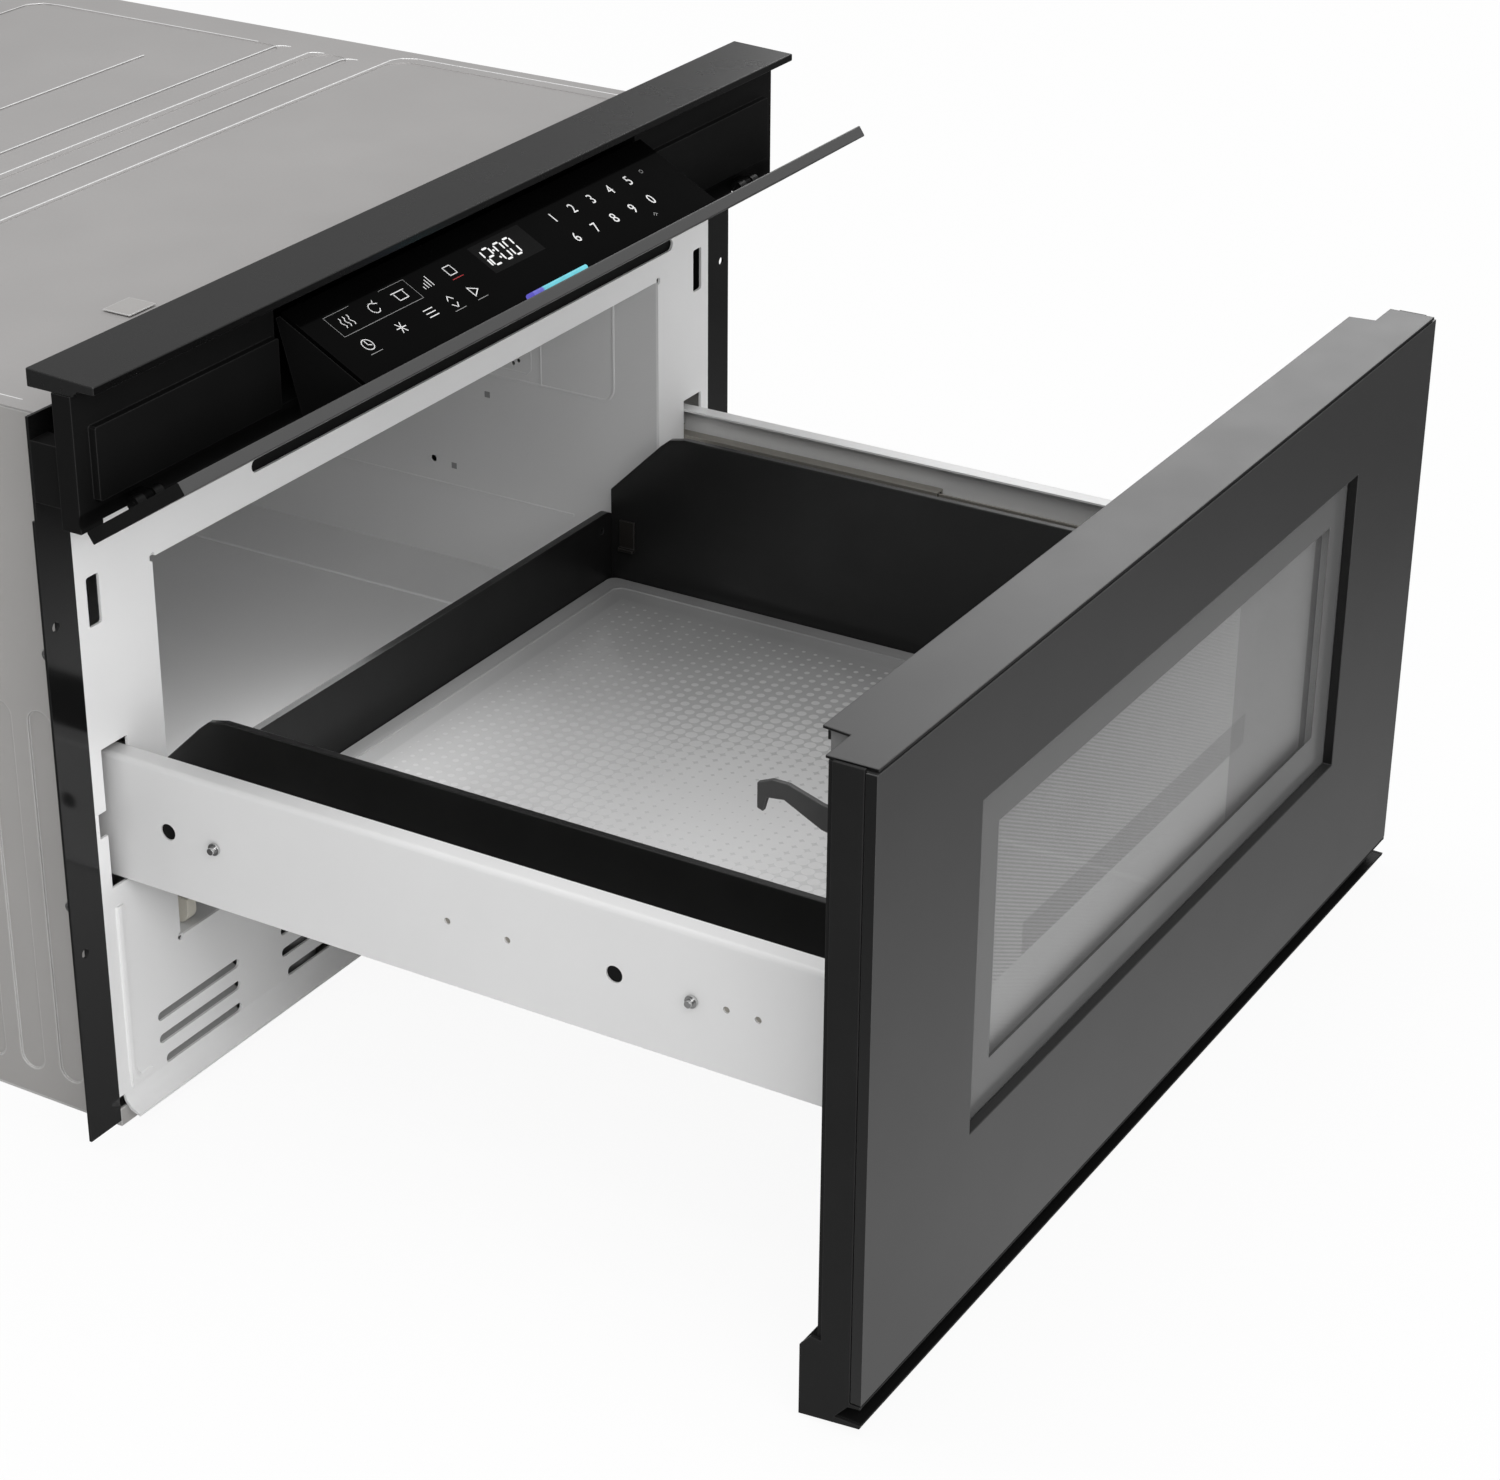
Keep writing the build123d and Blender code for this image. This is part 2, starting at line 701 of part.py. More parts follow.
def flap_fascia():
    plate = block(-half_fascia, half_fascia, flap_outer_y, flap_inner_y, flap_low, flap_high)
    plate = chamfer(plate.edges().filter_by(Axis.X), 0.5)
    ear_space = hinge_ear_radius() + 0.5
    half = hinge_ear_width / 2 + 0.4
    well = block(hinge_x - half, hinge_x + half, hinge_y - ear_space, flap_inner_y + 1,
                 flap_low - 1, hinge_z + ear_space)
    plate -= both(well)
    lug_radius = hinge_ear_radius() + 0.4
    lugs = None
    for side in (-1, 1):
        inner = hinge_x + side * half
        outer = inner + side * hinge_lug_width
        lug = rod_x(lug_radius, min(inner, outer), max(inner, outer), hinge_y, hinge_z)
        lug += block(min(inner, outer), max(inner, outer), flap_inner_y, hinge_y,
                     hinge_z - lug_radius, hinge_z + lug_radius)
        lug -= block(min(inner, outer) - 1, max(inner, outer) + 1, flap_outer_y - 5, flap_inner_y,
                     hinge_z - 20, hinge_z + 20)
        lugs = lug if lugs is None else lugs + lug
    plate += both(lugs)
    pin_hole = rod_x(hinge_pin_radius, hinge_x - half - hinge_lug_width, hinge_x + half + hinge_lug_width,
                     hinge_y, hinge_z)
    plate -= both(pin_hole)
    return plate


def hinge_pins():
    reach = hinge_ear_width / 2 + 0.4 + hinge_lug_width
    return both(rod_x(hinge_pin_radius, hinge_x - reach, hinge_x + reach, hinge_y, hinge_z))


def wedge_outline(top_offset):
    """Control wedge profile behind the flap, closed: the glass lies on its sloping top."""
    drop = top_offset / cos(radians(glass_angle))
    front_top = (flap_inner_y, wedge_top - drop)
    rear_top = (tip_y - top_offset * sin(radians(glass_angle)),
                tip_z - top_offset * cos(radians(glass_angle)))
    rear_low = (rear_top[0], tip_z - wedge_tip)
    front_low = (flap_inner_y, wedge_low)
    return [front_top, rear_top, rear_low, front_low]


def flap_wedge():
    body = prism_x(wedge_outline(glass_thickness), -wedge_half, wedge_half)
    wall = 2.0
    front_top, rear_top, rear_low, front_low = wedge_outline(glass_thickness + wall)
    hollow = [(front_top[0] + wall, front_top[1] - wall * glass_fall),
              (rear_top[0] - wall, rear_top[1] + wall * glass_fall),
              (rear_low[0] - wall, rear_low[1] + wall), (front_low[0] + wall, front_low[1] + wall)]
    return body - prism_x(hollow, -wedge_half + wall, wedge_half - wall)


def control_glass():
    lower = wedge_outline(glass_thickness)
    run = tip_y - flap_inner_y
    upper_front = (flap_inner_y, wedge_top)
    upper_rear = (flap_inner_y + run, tip_z)
    outline = [lower[0], upper_front, upper_rear, lower[1]]
    return prism_x(outline, -wedge_half, wedge_half)


def flap_light_bar():
    """Translucent bar along the outer edge of the flap's inner face."""
    low = wedge_top + 0.3
    high = flap_high - 0.6
    bar = block(-light_bar_width / 2, light_bar_width / 2, flap_inner_y, flap_inner_y + 2.2, low, high)
    return chamfer(bar.edges().filter_by(Axis.X).sort_by(Axis.Y)[-2:], 0.8)


# ---------------------------------------------------------------- door
def door_outer_panel():
    y0, y1 = door_y, door_y + door_panel_depth
    top = door_top - top_cap_thickness - door_seam
    panel = block(-half_fascia, half_fascia, y0, y1, door_low, top)
    panel -= block(-half_fascia + door_skin, half_fascia - door_skin, y0 + door_skin, y1 + 1,
                   door_low + door_skin, top - door_skin)
    jamb = block(-window_half - door_skin, window_half + door_skin, y0 + door_skin, y1,
                 window_low - door_skin, window_high + door_skin)
    panel += jamb
    panel -= block(-window_half, window_half, y0 - 1, y1 + 1, window_low, window_high)
    return panel


def door_window_glass():
    y0 = door_y + door_panel_depth
    lap = window_lap
    return block(-window_half - lap, window_half + lap, y0, y0 + window_glass_thickness,
                 window_low - lap, window_high + lap)


def door_window_frame():
    """Plastic ring that holds the glass against the panel and spaces the screen off it."""
    y0 = door_y + door_panel_depth
    y1 = door_y + screen_depth - core_sheet
    rim = window_lap + 8.0
    ring = block(-window_half - rim, window_half + rim, y0, y1, window_low - rim, window_high + rim)
    lap = window_lap + 0.2
    ring -= block(-window_half - lap, window_half + lap, y0 - 1, y0 + window_glass_thickness,
                  window_low - lap, window_high + lap)
    inner = 10.0
    ring -= block(-window_half + inner, window_half - inner, y0 - 1, y1 + 1,
                  window_low + inner, window_high - inner)
    return ring


def door_core():
    """Pressed steel door pan with the screen dished forward behind the window."""
    y_flange = door_y + door_panel_depth
    top = door_top - top_cap_thickness
    pan = block(-core_half, core_half, y_flange, core_rear_y, foot_high, top)
    pan -= block(-core_half + core_sheet, core_half - core_sheet, y_flange - 1, core_rear_y - core_sheet,
                 foot_high + core_sheet, top - core_sheet)
    screen_y1 = door_y + screen_depth
    low, high = window_low - screen_margin, window_high + screen_margin
    half = window_half + screen_margin
    dish = block(-half, half, screen_y1 - core_sheet, core_rear_y, low, high)
    pan += dish
    pan -= block(-half + core_sheet, half - core_sheet, screen_y1, core_rear_y + 1,
                 low + core_sheet, high - core_sheet)
    pivot_y = door_y + latch_pivot_y
    ear_inner = latch_plate / 2 + latch_side_gap
    ear_outer = ear_inner + latch_ear
    for side in (-1, 1):
        near, far = latch_x + side * ear_inner, latch_x + side * ear_outer
        ear = block(min(near, far), max(near, far), pivot_y - 5, core_rear_y - core_sheet / 2,
                    latch_pivot_z - 9, latch_pivot_z + 9)
        pan += both(ear)
    slot = block(latch_x - ear_inner, latch_x + ear_inner, core_rear_y - core_sheet - 1,
                 core_rear_y + 1, latch_pivot_z - 8, latch_pivot_z + 19)
    pan -= both(slot)
    reach = ear_outer - 0.2
    pan += both(rod_x(latch_pin_radius, latch_x - reach, latch_x + reach, pivot_y, latch_pivot_z))
    wing = block(core_half, top_cap_half, y_flange, y_flange + core_sheet,
                 foot_high + 4, top - 1)
    return pan + both(wing)


def door_inner_cover():
    """Flat plastic cover over the choke on the cavity side of the door."""
    half = cavity_half + inner_cover_lap
    cover = block(-half, half, core_rear_y, core_rear_y + inner_cover_thickness,
                  cavity_floor - inner_cover_lap, cavity_roof + inner_cover_lap)
    return chamfer(cover.faces().sort_by(Axis.Y)[-1].edges(), 0.8)


def door_top_cap():
    y = door_y
    step_x, step_y = top_cap_step_x, top_cap_step_y
    rear = core_rear + inner_cover_thickness
    right = [(top_cap_half, y + door_seam), (top_cap_half, y + step_y), (step_x, y + step_y),
             (step_x - top_cap_step_lean, y + rear)]
    left = [(-x, yy) for x, yy in reversed(right)]
    cap = prism_z(right + left, door_top - top_cap_thickness, door_top)
    cap += block(-core_half, core_half, core_rear_y, core_rear_y + top_cap_thickness,
                 door_top - 8.0, door_top - top_cap_thickness)
    return cap


def foot_outline():
    """(y, z) end view of the door's foot with its full-width air groove."""
    y = door_y
    return [(y + door_panel_depth, foot_high), (y + door_panel_depth, groove_high + 1.4),
            (y + 0.3, groove_high + 1.4), (y + 0.3, groove_high),
            (y + groove_depth / 2, groove_high - groove_roof_fall),
            (y + groove_depth, lip_front_high + 0.3),
            (y, lip_front_high), (y + 0.5, lip_front_low),
            (y + foot_depth, foot_low), (y + foot_depth, foot_high)]


def door_end_cap_right():
    outer = half_fascia + end_cap_proud
    inner = outer - end_cap_wall
    y = door_y
    depth_y = y + end_cap_depth
    lower = foot_outline()[1:]
    outline = [(y + door_panel_depth + 0.2, door_top - 0.6),
               (y + door_panel_depth + 0.2, groove_high + 1.4)]
    outline += lower[1:]
    outline += [(y + foot_depth - foot_slope + 0.8, foot_high + foot_slope),
                (depth_y, foot_high + foot_slope - 0.6),
                (depth_y, door_top - 0.6)]
    cap = prism_x(outline, inner, outer)
    rear = block(core_half, inner, depth_y, depth_y + end_cap_flange,
                 foot_high + foot_slope, door_top - top_cap_thickness)
    rear += block(inner - 1.2, inner, depth_y - 3.0, depth_y + end_cap_flange,
                  foot_high + foot_slope, door_top - top_cap_thickness)
    return cap + rear


def door_bottom_trim():
    half = half_fascia + end_cap_proud - end_cap_wall
    return prism_x(foot_outline(), -half, half)


# ---------------------------------------------------------------- drawer tub
def drawer_side_right():
    y0, y1 = tub_front_y, tub_rear_y
    top_y = door_y + tub_round_y
    slope_y = door_y + tub_slope_y
    outline = [(y0, tub_low), (y1, tub_low), (y1, tub_slope_low), (slope_y, tub_slope_high),
               (slope_y - 6.0, tub_top - 2.2), (top_y, tub_top), (y0, tub_top)]
    side = prism_x(outline, tub_inner, tub_half)
    ledge = block(tub_inner - tray_ledge, tub_inner, y0, y1, tray_low - tray_ledge_sheet, tray_low)
    return side + ledge


def drawer_back():
    y0 = tub_rear_y
    back = block(-tub_half, tub_half, y0, y0 + tub_back_wall, tub_low, tub_back_top)
    corners = back.edges().filter_by(Axis.Y).group_by(Axis.Z)[-1]
    back = fillet(corners, 10.0)
    for x in (-tub_half + 14.0, tub_half - 14.0):
        back -= rod_y(2.0, y0 - 1, y0 + tub_back_wall + 1, x, tub_back_top - 10.0)
    return back


def tray_outline(inset, z):
    """Rounded rectangle that lies a given way inside the tray's edge."""
    reach = inset + tray_gap
    length = tub_rear_y - tub_front_y - 2 * reach
    centre = (tub_front_y + tub_rear_y) / 2
    return Pos(0, centre, z) * RectangleRounded(2 * (tub_inner - reach), length, tray_corner)


def glass_tray():
    """Pressed glass pan: flat border, fine raised rim, sloped band and a field that lies lower."""
    rim_inside = tray_border + tray_rim_width
    tray = extrude(tray_outline(0, tray_low), amount=tray_thickness)
    rim = tray_outline(tray_border, tray_top) - tray_outline(rim_inside, tray_top)
    tray += extrude(rim, amount=tray_rim_height)
    field = tray_outline(rim_inside + tray_slope, tray_top - tray_dish)
    return tray - loft([field, tray_outline(rim_inside, tray_top)])


def tray_clips():
    y1 = tub_rear_y - 7.0
    clip = block(tub_inner - clip_thickness, tub_inner, y1 - clip_width, y1,
                 tray_top + 19.0, tray_top + 19.0 + clip_height)
    clip += block(tub_inner - 3.6, tub_inner - clip_thickness, y1 - clip_width, y1,
                  tray_top + 19.0, tray_top + 21.0)
    return both(clip)


def drawer_glides():
    """Nylon shoes under the rear of the drawer sides that run on the cavity floor."""
    y1 = tub_rear_y + 2.0
    x = (tub_half + tub_inner) / 2
    low = cavity_floor + 0.3
    shoe = block(x - glide_width / 2, x + glide_width / 2, y1 - glide_length, y1, low, tub_low)
    edges = shoe.edges().filter_by(Axis.X).group_by(Axis.Z)[0]
    return both(fillet(edges, 6.0))


# ---------------------------------------------------------------- telescopic rails
def channel(web_x, direction, height, flange, lip, y0, y1):
    """Slide profile: a web with two flanges whose edges turn in (lip > 0) or out (lip < 0)."""
    t = slide_sheet
    z = rail_axis_z
    x_web = sorted((web_x, web_x + direction * t))
    x_all = sorted((web_x, web_x + direction * flange))
    x_lip = sorted((web_x + direction * (flange - t), web_x + direction * flange))
    body = block(x_web[0], x_web[1], y0, y1, z - height / 2, z + height / 2)
    for side in (-1, 1):
        edge = z + side * height / 2
        flange_z = sorted((edge, edge - side * t))
        body += block(x_all[0], x_all[1], y0, y1, flange_z[0], flange_z[1])
        lip_end = edge - side * (t + lip) if lip > 0 else edge - side * lip
        lip_z = sorted((edge - side * t / 2, lip_end))
        body += block(x_lip[0], x_lip[1], y0, y1, lip_z[0], lip_z[1])
    return body


def slide_fixed_right():
    inside = slide_height / 2 - slide_sheet
    lip = inside - slide_middle_height / 2 - slide_race_gap
    return channel(slide_web_x, 1, slide_height, slide_fixed_flange, lip,
                   frame_sheet + slide_end_gap, cavity_rear - slide_end_gap)


def slide_middle_right():
    inside = slide_middle_height / 2 - slide_sheet
    lip = inside - slide_drawer_height / 2 - slide_race_gap
    y0 = -slide_middle_front
    middle = channel(slide_middle_web_x, 1, slide_middle_height, slide_middle_flange, lip, y0,
                     y0 + slide_middle_length)
    middle -= slot_x_long(y0 + 60, y0 + slide_middle_length - 60, slide_middle_web_x)
    return middle


def slot_x_long(y0, y1, x):
    """Row of long lightening slots in a slide's web."""
    cut = None
    count = 3
    pitch = (y1 - y0) / count
    for index in range(count):
        centre = y0 + (index + 0.5) * pitch
        one = block(x - 1, x + slide_sheet + 1, centre - pitch * 0.32, centre + pitch * 0.32,
                    rail_axis_z - 3, rail_axis_z + 3)
        cut = one if cut is None else cut + one
    return cut


def slide_drawer_right():
    race = (slide_middle_height / 2 - slide_sheet) - slide_drawer_height / 2 - slide_race_gap
    y1 = rail_rear_y - 8.0
    return channel(rail_inner_face, -1, slide_drawer_height, slide_drawer_flange, -race,
                   y1 - slide_drawer_length, y1)


def slide_bracket_right():
    """Channel that carries the fixed slide member off the cavity wall."""
    x0, x1 = cavity_half + cabinet_sheet, slide_web_x
    y0, y1 = frame_sheet, cavity_rear
    low, high = rail_axis_z - bracket_height / 2, rail_axis_z + bracket_height / 2
    body = block(x0, x1, y0, y1, low, high)
    return body - block(x0 - 1, x1 - slide_sheet, y0 - 1, y1 + 1, low + slide_sheet, high - slide_sheet)


def rail_cover_right():
    t = rail_cover_sheet
    y0, y1 = core_rear_y, rail_rear_y
    cover = block(rail_cover_outer - rail_cover_lip, rail_cover_outer, y0, y1,
                  rail_cover_low, rail_cover_top)
    cover = fillet(outer_top_edge(cover), rail_cover_bend)
    inner = block(rail_cover_outer - rail_cover_lip - 1, rail_cover_outer - t, y0 - 1, y1 + 1,
                  rail_cover_low - 1, rail_cover_top - t)
    cover -= fillet(outer_top_edge(inner), rail_cover_bend - t)
    for along in rail_hole_places:
        cover -= rod_x(rail_hole_radius, rail_inner_face - 1, rail_cover_outer + 1, door_y + along,
                       rail_axis_z)
    for along in rail_pilot_places:
        cover -= rod_x(rail_pilot_radius, rail_inner_face - 1, rail_cover_outer + 1, door_y + along,
                       rail_axis_z)
    return cover


def outer_top_edge(solid):
    edges = solid.edges().filter_by(Axis.Y)
    return edges.sort_by(lambda edge: edge.center().X + edge.center().Z)[-1]


def rail_screws():
    """Screw ends with their nuts that stand out of the rail covers."""
    screw = None
    for along in rail_screw_places:
        y, z = door_y + along, rail_axis_z - rail_screw_drop
        nut = rod_x(rail_nut_radius, rail_cover_outer, rail_cover_outer + rail_nut_height, y, z)
        nut += rod_x(rail_screw_radius, rail_cover_outer, rail_cover_outer + rail_screw_length, y, z)
        screw = nut if screw is None else screw + nut
    return both(screw)


# ---------------------------------------------------------------- drive
def drive_rack():
    """Toothed bar under the drawer: straight-flanked teeth that face the pinion."""
    pitch = pi * gear_module
    y_end = pinion_y + 14.0
    y0 = core_rear_y
    count = int((y_end - y0) / pitch) - 1
    lean = tan(radians(pressure_angle))
    tip_half = pitch / 4 - gear_module * lean - gear_backlash / 2
    root_half = pitch / 4 + 1.25 * gear_module * lean - gear_backlash / 2
    tip_x = rack_x - gear_module
    root_x = rack_x + 1.25 * gear_module
    points = [(rack_x + rack_back, y0), (root_x, y0)]
    first = pinion_y - int((pinion_y - y0) / pitch - 0.5) * pitch
    for index in range(count):
        y = first + index * pitch
        points += [(root_x, y - root_half), (tip_x, y - tip_half)]
        points += [(tip_x, y + tip_half), (root_x, y + root_half)]
    points += [(root_x, y_end), (rack_x + rack_back, y_end)]
    return prism_z(points, rack_low, rack_low + rack_height)


def involute_point(base_radius, radius, turn):
    roll = sqrt(max(0.0, (radius / base_radius) ** 2 - 1))
    angle = turn + roll - asin(min(1.0, roll / sqrt(1 + roll * roll)))
    return radius * cos(angle), radius * sin(angle)


def drive_pinion():
    """Involute pinion with a tooth space facing the rack, on its motor shaft."""
    base = pitch_radius * cos(radians(pressure_angle))
    outer = pitch_radius + gear_module
    root = pitch_radius - 1.25 * gear_module
    roll = tan(radians(pressure_angle)) - radians(pressure_angle)
    half_tooth = pi / (2 * pinion_teeth) - gear_backlash / (2 * pitch_radius)
    radii = [base + (outer - base) * step / 3 for step in range(4)]
    pitch_angle = 2 * pi / pinion_teeth
    points = []
    for tooth in range(pinion_teeth):
        centre = (tooth + 0.5) * pitch_angle
        flank = [involute_point(base, radius, 0.0) for radius in radii]
        turn = half_tooth + roll
        root_edge = (root, 0.0)
        points += [turned(point, centre - turn) for point in [root_edge] + flank]
        points += [turned((x, -y), centre + turn) for x, y in reversed(flank)]
        points += [turned(root_edge, centre + turn)]
    gear = prism_z(points, rack_low + 1.0, rack_low + rack_height - 1.0)
    gear += rod_z(7.0, rack_low - 2.5, rack_low + 1.0, 0, 0)
    gear += rod_z(shaft_radius, motor_low + motor_height - 8.0, rack_low, 0, 0)
    return Pos(motor_x, pinion_y, 0) * gear


def turned(point, angle):
    x, y = point
    return x * cos(angle) - y * sin(angle), x * sin(angle) + y * cos(angle)


def drive_motor():
    top = motor_low + motor_height
    y = pinion_y + 8.0
    motor = rod_z(motor_radius, motor_low, top, motor_x, y)
    foot = motor_radius + motor_foot
    motor += block(motor_x - foot, motor_x + foot, y - 9, y + 9, cabinet_sheet, motor_low + 3.0)
    motor += rod_z(9.0, top, top + 6.0, motor_x, pinion_y)
    motor -= rod_z(shaft_radius + shaft_play, top - 9.0, top + 7.0, motor_x, pinion_y)
    return motor


# ---------------------------------------------------------------- latches
def latch_hook_right():
    y, z = door_y, latch_pivot_z
    x0 = latch_x - latch_plate / 2
    outline = [(y + latch_pivot_y - 6, z - 6), (y + 44, z - 1), (y + 62, latch_tip_top - 8),
               (y + latch_tip_y - 5, latch_tip_top - 9), (y + latch_tip_y - 3, latch_tip_top - 16),
               (y + latch_tip_y, latch_tip_top - 15), (y + latch_tip_y, latch_tip_top - 3),
               (y + 68, latch_tip_top), (y + 60, latch_tip_top), (y + 44, z + 11),
               (y + latch_pivot_y - 6, z + 6)]
    hook = prism_x(outline, x0, x0 + latch_plate)
    hook += rod_x(6.0, x0, x0 + latch_plate, y + latch_pivot_y, z)
    return hook - rod_x(latch_pin_radius + latch_play, x0 - 1, x0 + latch_plate + 1, y + latch_pivot_y, z)


# ---------------------------------------------------------------- microwave parts
def antenna_well():
    """Round tray under the cavity floor that the antenna turns in."""
    low = cavity_floor - cabinet_sheet - antenna_well_depth
    high = cavity_floor - cabinet_sheet
    well = rod_z(antenna_well_radius, low, high, 0, antenna_y)
    well -= rod_z(antenna_well_radius - waveguide_wall, low + waveguide_wall, high + 1, 0, antenna_y)
    return well - rod_z(coupling_radius, low - 1, low + 2, 0, antenna_y)


def antenna_cover():
    high = cavity_floor - cabinet_sheet
    radius = antenna_well_radius - waveguide_wall - 0.3
    return rod_z(radius, high - cover_thickness, high, 0, antenna_y)


def rotating_antenna():
    """Slotted disc on its shaft: the stirrer under the cavity floor."""
    low = well_low + 7.0
    disc = rod_z(antenna_radius, low, low + antenna_thickness, 0, antenna_y)
    for index in range(3):
        angle = 360 / 3 * index + 20
        outline = Rot(0, 0, angle) * Pos(34, 0) * SlotOverall(36, 12)
        slot = extrude(Plane.XY.offset(low - 1) * outline, amount=5)
        disc -= Pos(0, antenna_y, 0) * slot
    disc += rod_z(8.0, low - 4.0, low, 0, antenna_y)
    shaft_low = waveguide_low - antenna_motor_height + 4.0
    return disc + rod_z(antenna_shaft_radius, shaft_low, low, 0, antenna_y)


def waveguide():
    half = waveguide_width / 2
    y0, y1 = antenna_y - half, waveguide_end
    duct = block(-half, half, y0, y1, waveguide_low, well_low)
    wall = waveguide_wall
    duct -= block(-half + wall, half - wall, y0 + wall, y1 - wall, waveguide_low + wall, well_low - wall)
    duct -= rod_z(coupling_radius, well_low - 2, well_low + 1, 0, antenna_y)
    duct -= rod_z(coupling_radius, well_low - 2, well_low + 1, 0, magnetron_y)
    return duct - rod_z(antenna_shaft_radius + 1.0, waveguide_low - 1, waveguide_low + 2, 0, antenna_y)


def antenna_motor():
    high = waveguide_low
    motor = rod_z(antenna_motor_radius, high - antenna_motor_height, high, 0, antenna_y)
    hole = antenna_shaft_radius + shaft_play
    return motor - rod_z(hole, high - antenna_motor_height + 3.0, high + 1, 0, antenna_y)


def magnetron():
    """Magnetron on the waveguide: yoke plates, anode barrel, cooling fins and its antenna stub."""
    half, low = magnetron_half, well_low
    high = low + magnetron_height
    body = block(-half, half, magnetron_y - half, magnetron_y + half, low, low + 3)
    body += block(-half, half, magnetron_y - half, magnetron_y + half, high - 3, high)
    for side in (-1, 1):
        inner = side * (half - 2)
        outer = side * half
        body += block(min(inner, outer), max(inner, outer), magnetron_y - half, magnetron_y + half,
                      low, high)
    body += rod_z(18.0, low, high + 14.0, 0, magnetron_y)
    fin_gap = (magnetron_height - 6) / (magnetron_fins + 1)
    for index in range(magnetron_fins):
        z = low + 3 + (index + 1) * fin_gap
        body += block(-half + 2, half - 2, magnetron_y - half + 6, magnetron_y + half - 6,
                      z - 0.5, z + 0.5)
    return body + rod_z(8.0, low - 13.0, low, 0, magnetron_y)


def high_voltage_transformer():
    """Laminated core standing on the base with its two windings round the middle limb."""
    x, y, low = transformer_x, transformer_y, cabinet_sheet
    half, deep, limb = transformer_width / 2, transformer_depth / 2, transformer_width / 8
    high = low + transformer_height
    yoke = transformer_height / 5
    core = block(x - half, x + half, y - deep, y + deep, low, high)
    for side in (-1, 1):
        centre = x + side * half / 2
        core -= block(centre - limb, centre + limb, y - deep - 1, y + deep + 1, low + yoke, high - yoke)
    long = deep + winding_overhang
    winding = block(x - winding_width / 2, x + winding_width / 2, y - long, y + long,
                    low + yoke + 2, high - yoke - 2)
    winding = fillet(winding.edges().filter_by(Axis.Z), 8.0)
    return core + winding


def high_voltage_capacitor():
    x, y = transformer_x - capacitor_offset, transformer_y - 20
    outline = SlotOverall(capacitor_length, capacitor_width)
    can = extrude(Plane.XY.offset(cabinet_sheet) * Pos(x, y) * outline, amount=capacitor_height)
    top = cabinet_sheet + capacitor_height
    for side in (-1, 1):
        can += rod_z(2.5, top, top + 8, x + side * 9, y)
    return can


def control_board():
    """Power and control board on four posts above the cavity."""
    low = cavity_roof + cabinet_sheet
    x0, x1 = -board_width / 2, board_width / 2
    y0, y1 = board_front_y, board_front_y + board_depth
    top = low + board_post + board_sheet
    board = block(x0, x1, y0, y1, low + board_post, top)
    for x in (x0 + 8, x1 - 8):
        for y in (y0 + 8, y1 - 8):
            board += rod_z(3.5, low, low + board_post, x, y)
    for index in range(3):
        relay_x = x0 + 25 + index * relay_length
        board += block(relay_x, relay_x + relay_width, y0 + 20, y0 + 20 + relay_length - 2, top,
                       top + relay_height)
    board += block(x1 - 105, x1 - 50, y0 + 15, y0 + 60, top, top + 32)
    for index in range(2):
        board += rod_z(9.0, top, top + 26, x1 - 30, y0 + 25 + index * 40)
    return board


def fan_housing():
    """Square fan frame on the rear panel with its motor on three arms in front of the blades."""
    half, y1 = fan_frame / 2, rear_inside
    y0 = y1 - fan_depth
    frame = block(fan_x - half, fan_x + half, y0, y1, fan_z - half, fan_z + half)
    frame -= rod_y(fan_bore, y0 - 1, y1 + 1, fan_x, fan_z)
    motor_back = y0 - 1.0
    for index in range(3):
        arm = block(-4, 4, y0 - 5, y0, 0, fan_bore + 3)
        frame += Pos(fan_x, 0, fan_z) * (Rot(0, 120 * index + 60, 0) * arm)
    frame += rod_y(fan_motor_radius, y0 - fan_motor_depth, motor_back, fan_x, fan_z)
    return frame - rod_y(shaft_radius + shaft_play, y0 - fan_motor_depth + 3, y1, fan_x, fan_z)


def fan_blades_wheel():
    y0 = rear_inside - fan_depth + 3.0
    y1 = y0 + 14.0
    wheel = rod_y(fan_hub_radius, y0, y1, fan_x, fan_z)
    for index in range(fan_blades):
        blade = block(fan_hub_radius - 1.5, fan_radius, -0.8, 0.8, -13, 13)
        blade = Rot(-32, 0, 0) * blade
        wheel += Pos(fan_x, (y0 + y1) / 2, fan_z) * (Rot(0, 360 / fan_blades * index, 0) * blade)
    return wheel + rod_y(shaft_radius, rear_inside - fan_depth - fan_motor_depth + 5, y0, fan_x, fan_z)


def cavity_lamp():
    x0 = cavity_half + cabinet_sheet
    cup = block(x0, x0 + 4, lamp_y - 17, lamp_y + 17, lamp_z - 13, lamp_z + 15)
    cup += rod_x(11.0, x0 + 4, x0 + 30, lamp_y, lamp_z)
    return cup - rod_x(9.5, x0 - 1, x0 + 20, lamp_y, lamp_z)


def latch_boards():
    """Switch carriers behind the latch slots, each with two switches that the hook works."""
    low = latch_slot_low - 8.0
    high = latch_slot_low + latch_slot_height + 4.0
    y0 = frame_sheet
    board = block(side_inside - 4, side_inside - bead_depth, y0, y0 + latch_board_length, low, high)
    for index in range(2):
        z = low + 1 + index * (switch_height + 2)
        board += block(latch_x - 6, side_inside - 4, latch_board_y, latch_board_y + 22,
                       z, z + switch_height)
        board += rod_y(1.6, latch_board_y - 2.4, latch_board_y, latch_x, z + switch_height / 2)
    return both(board)


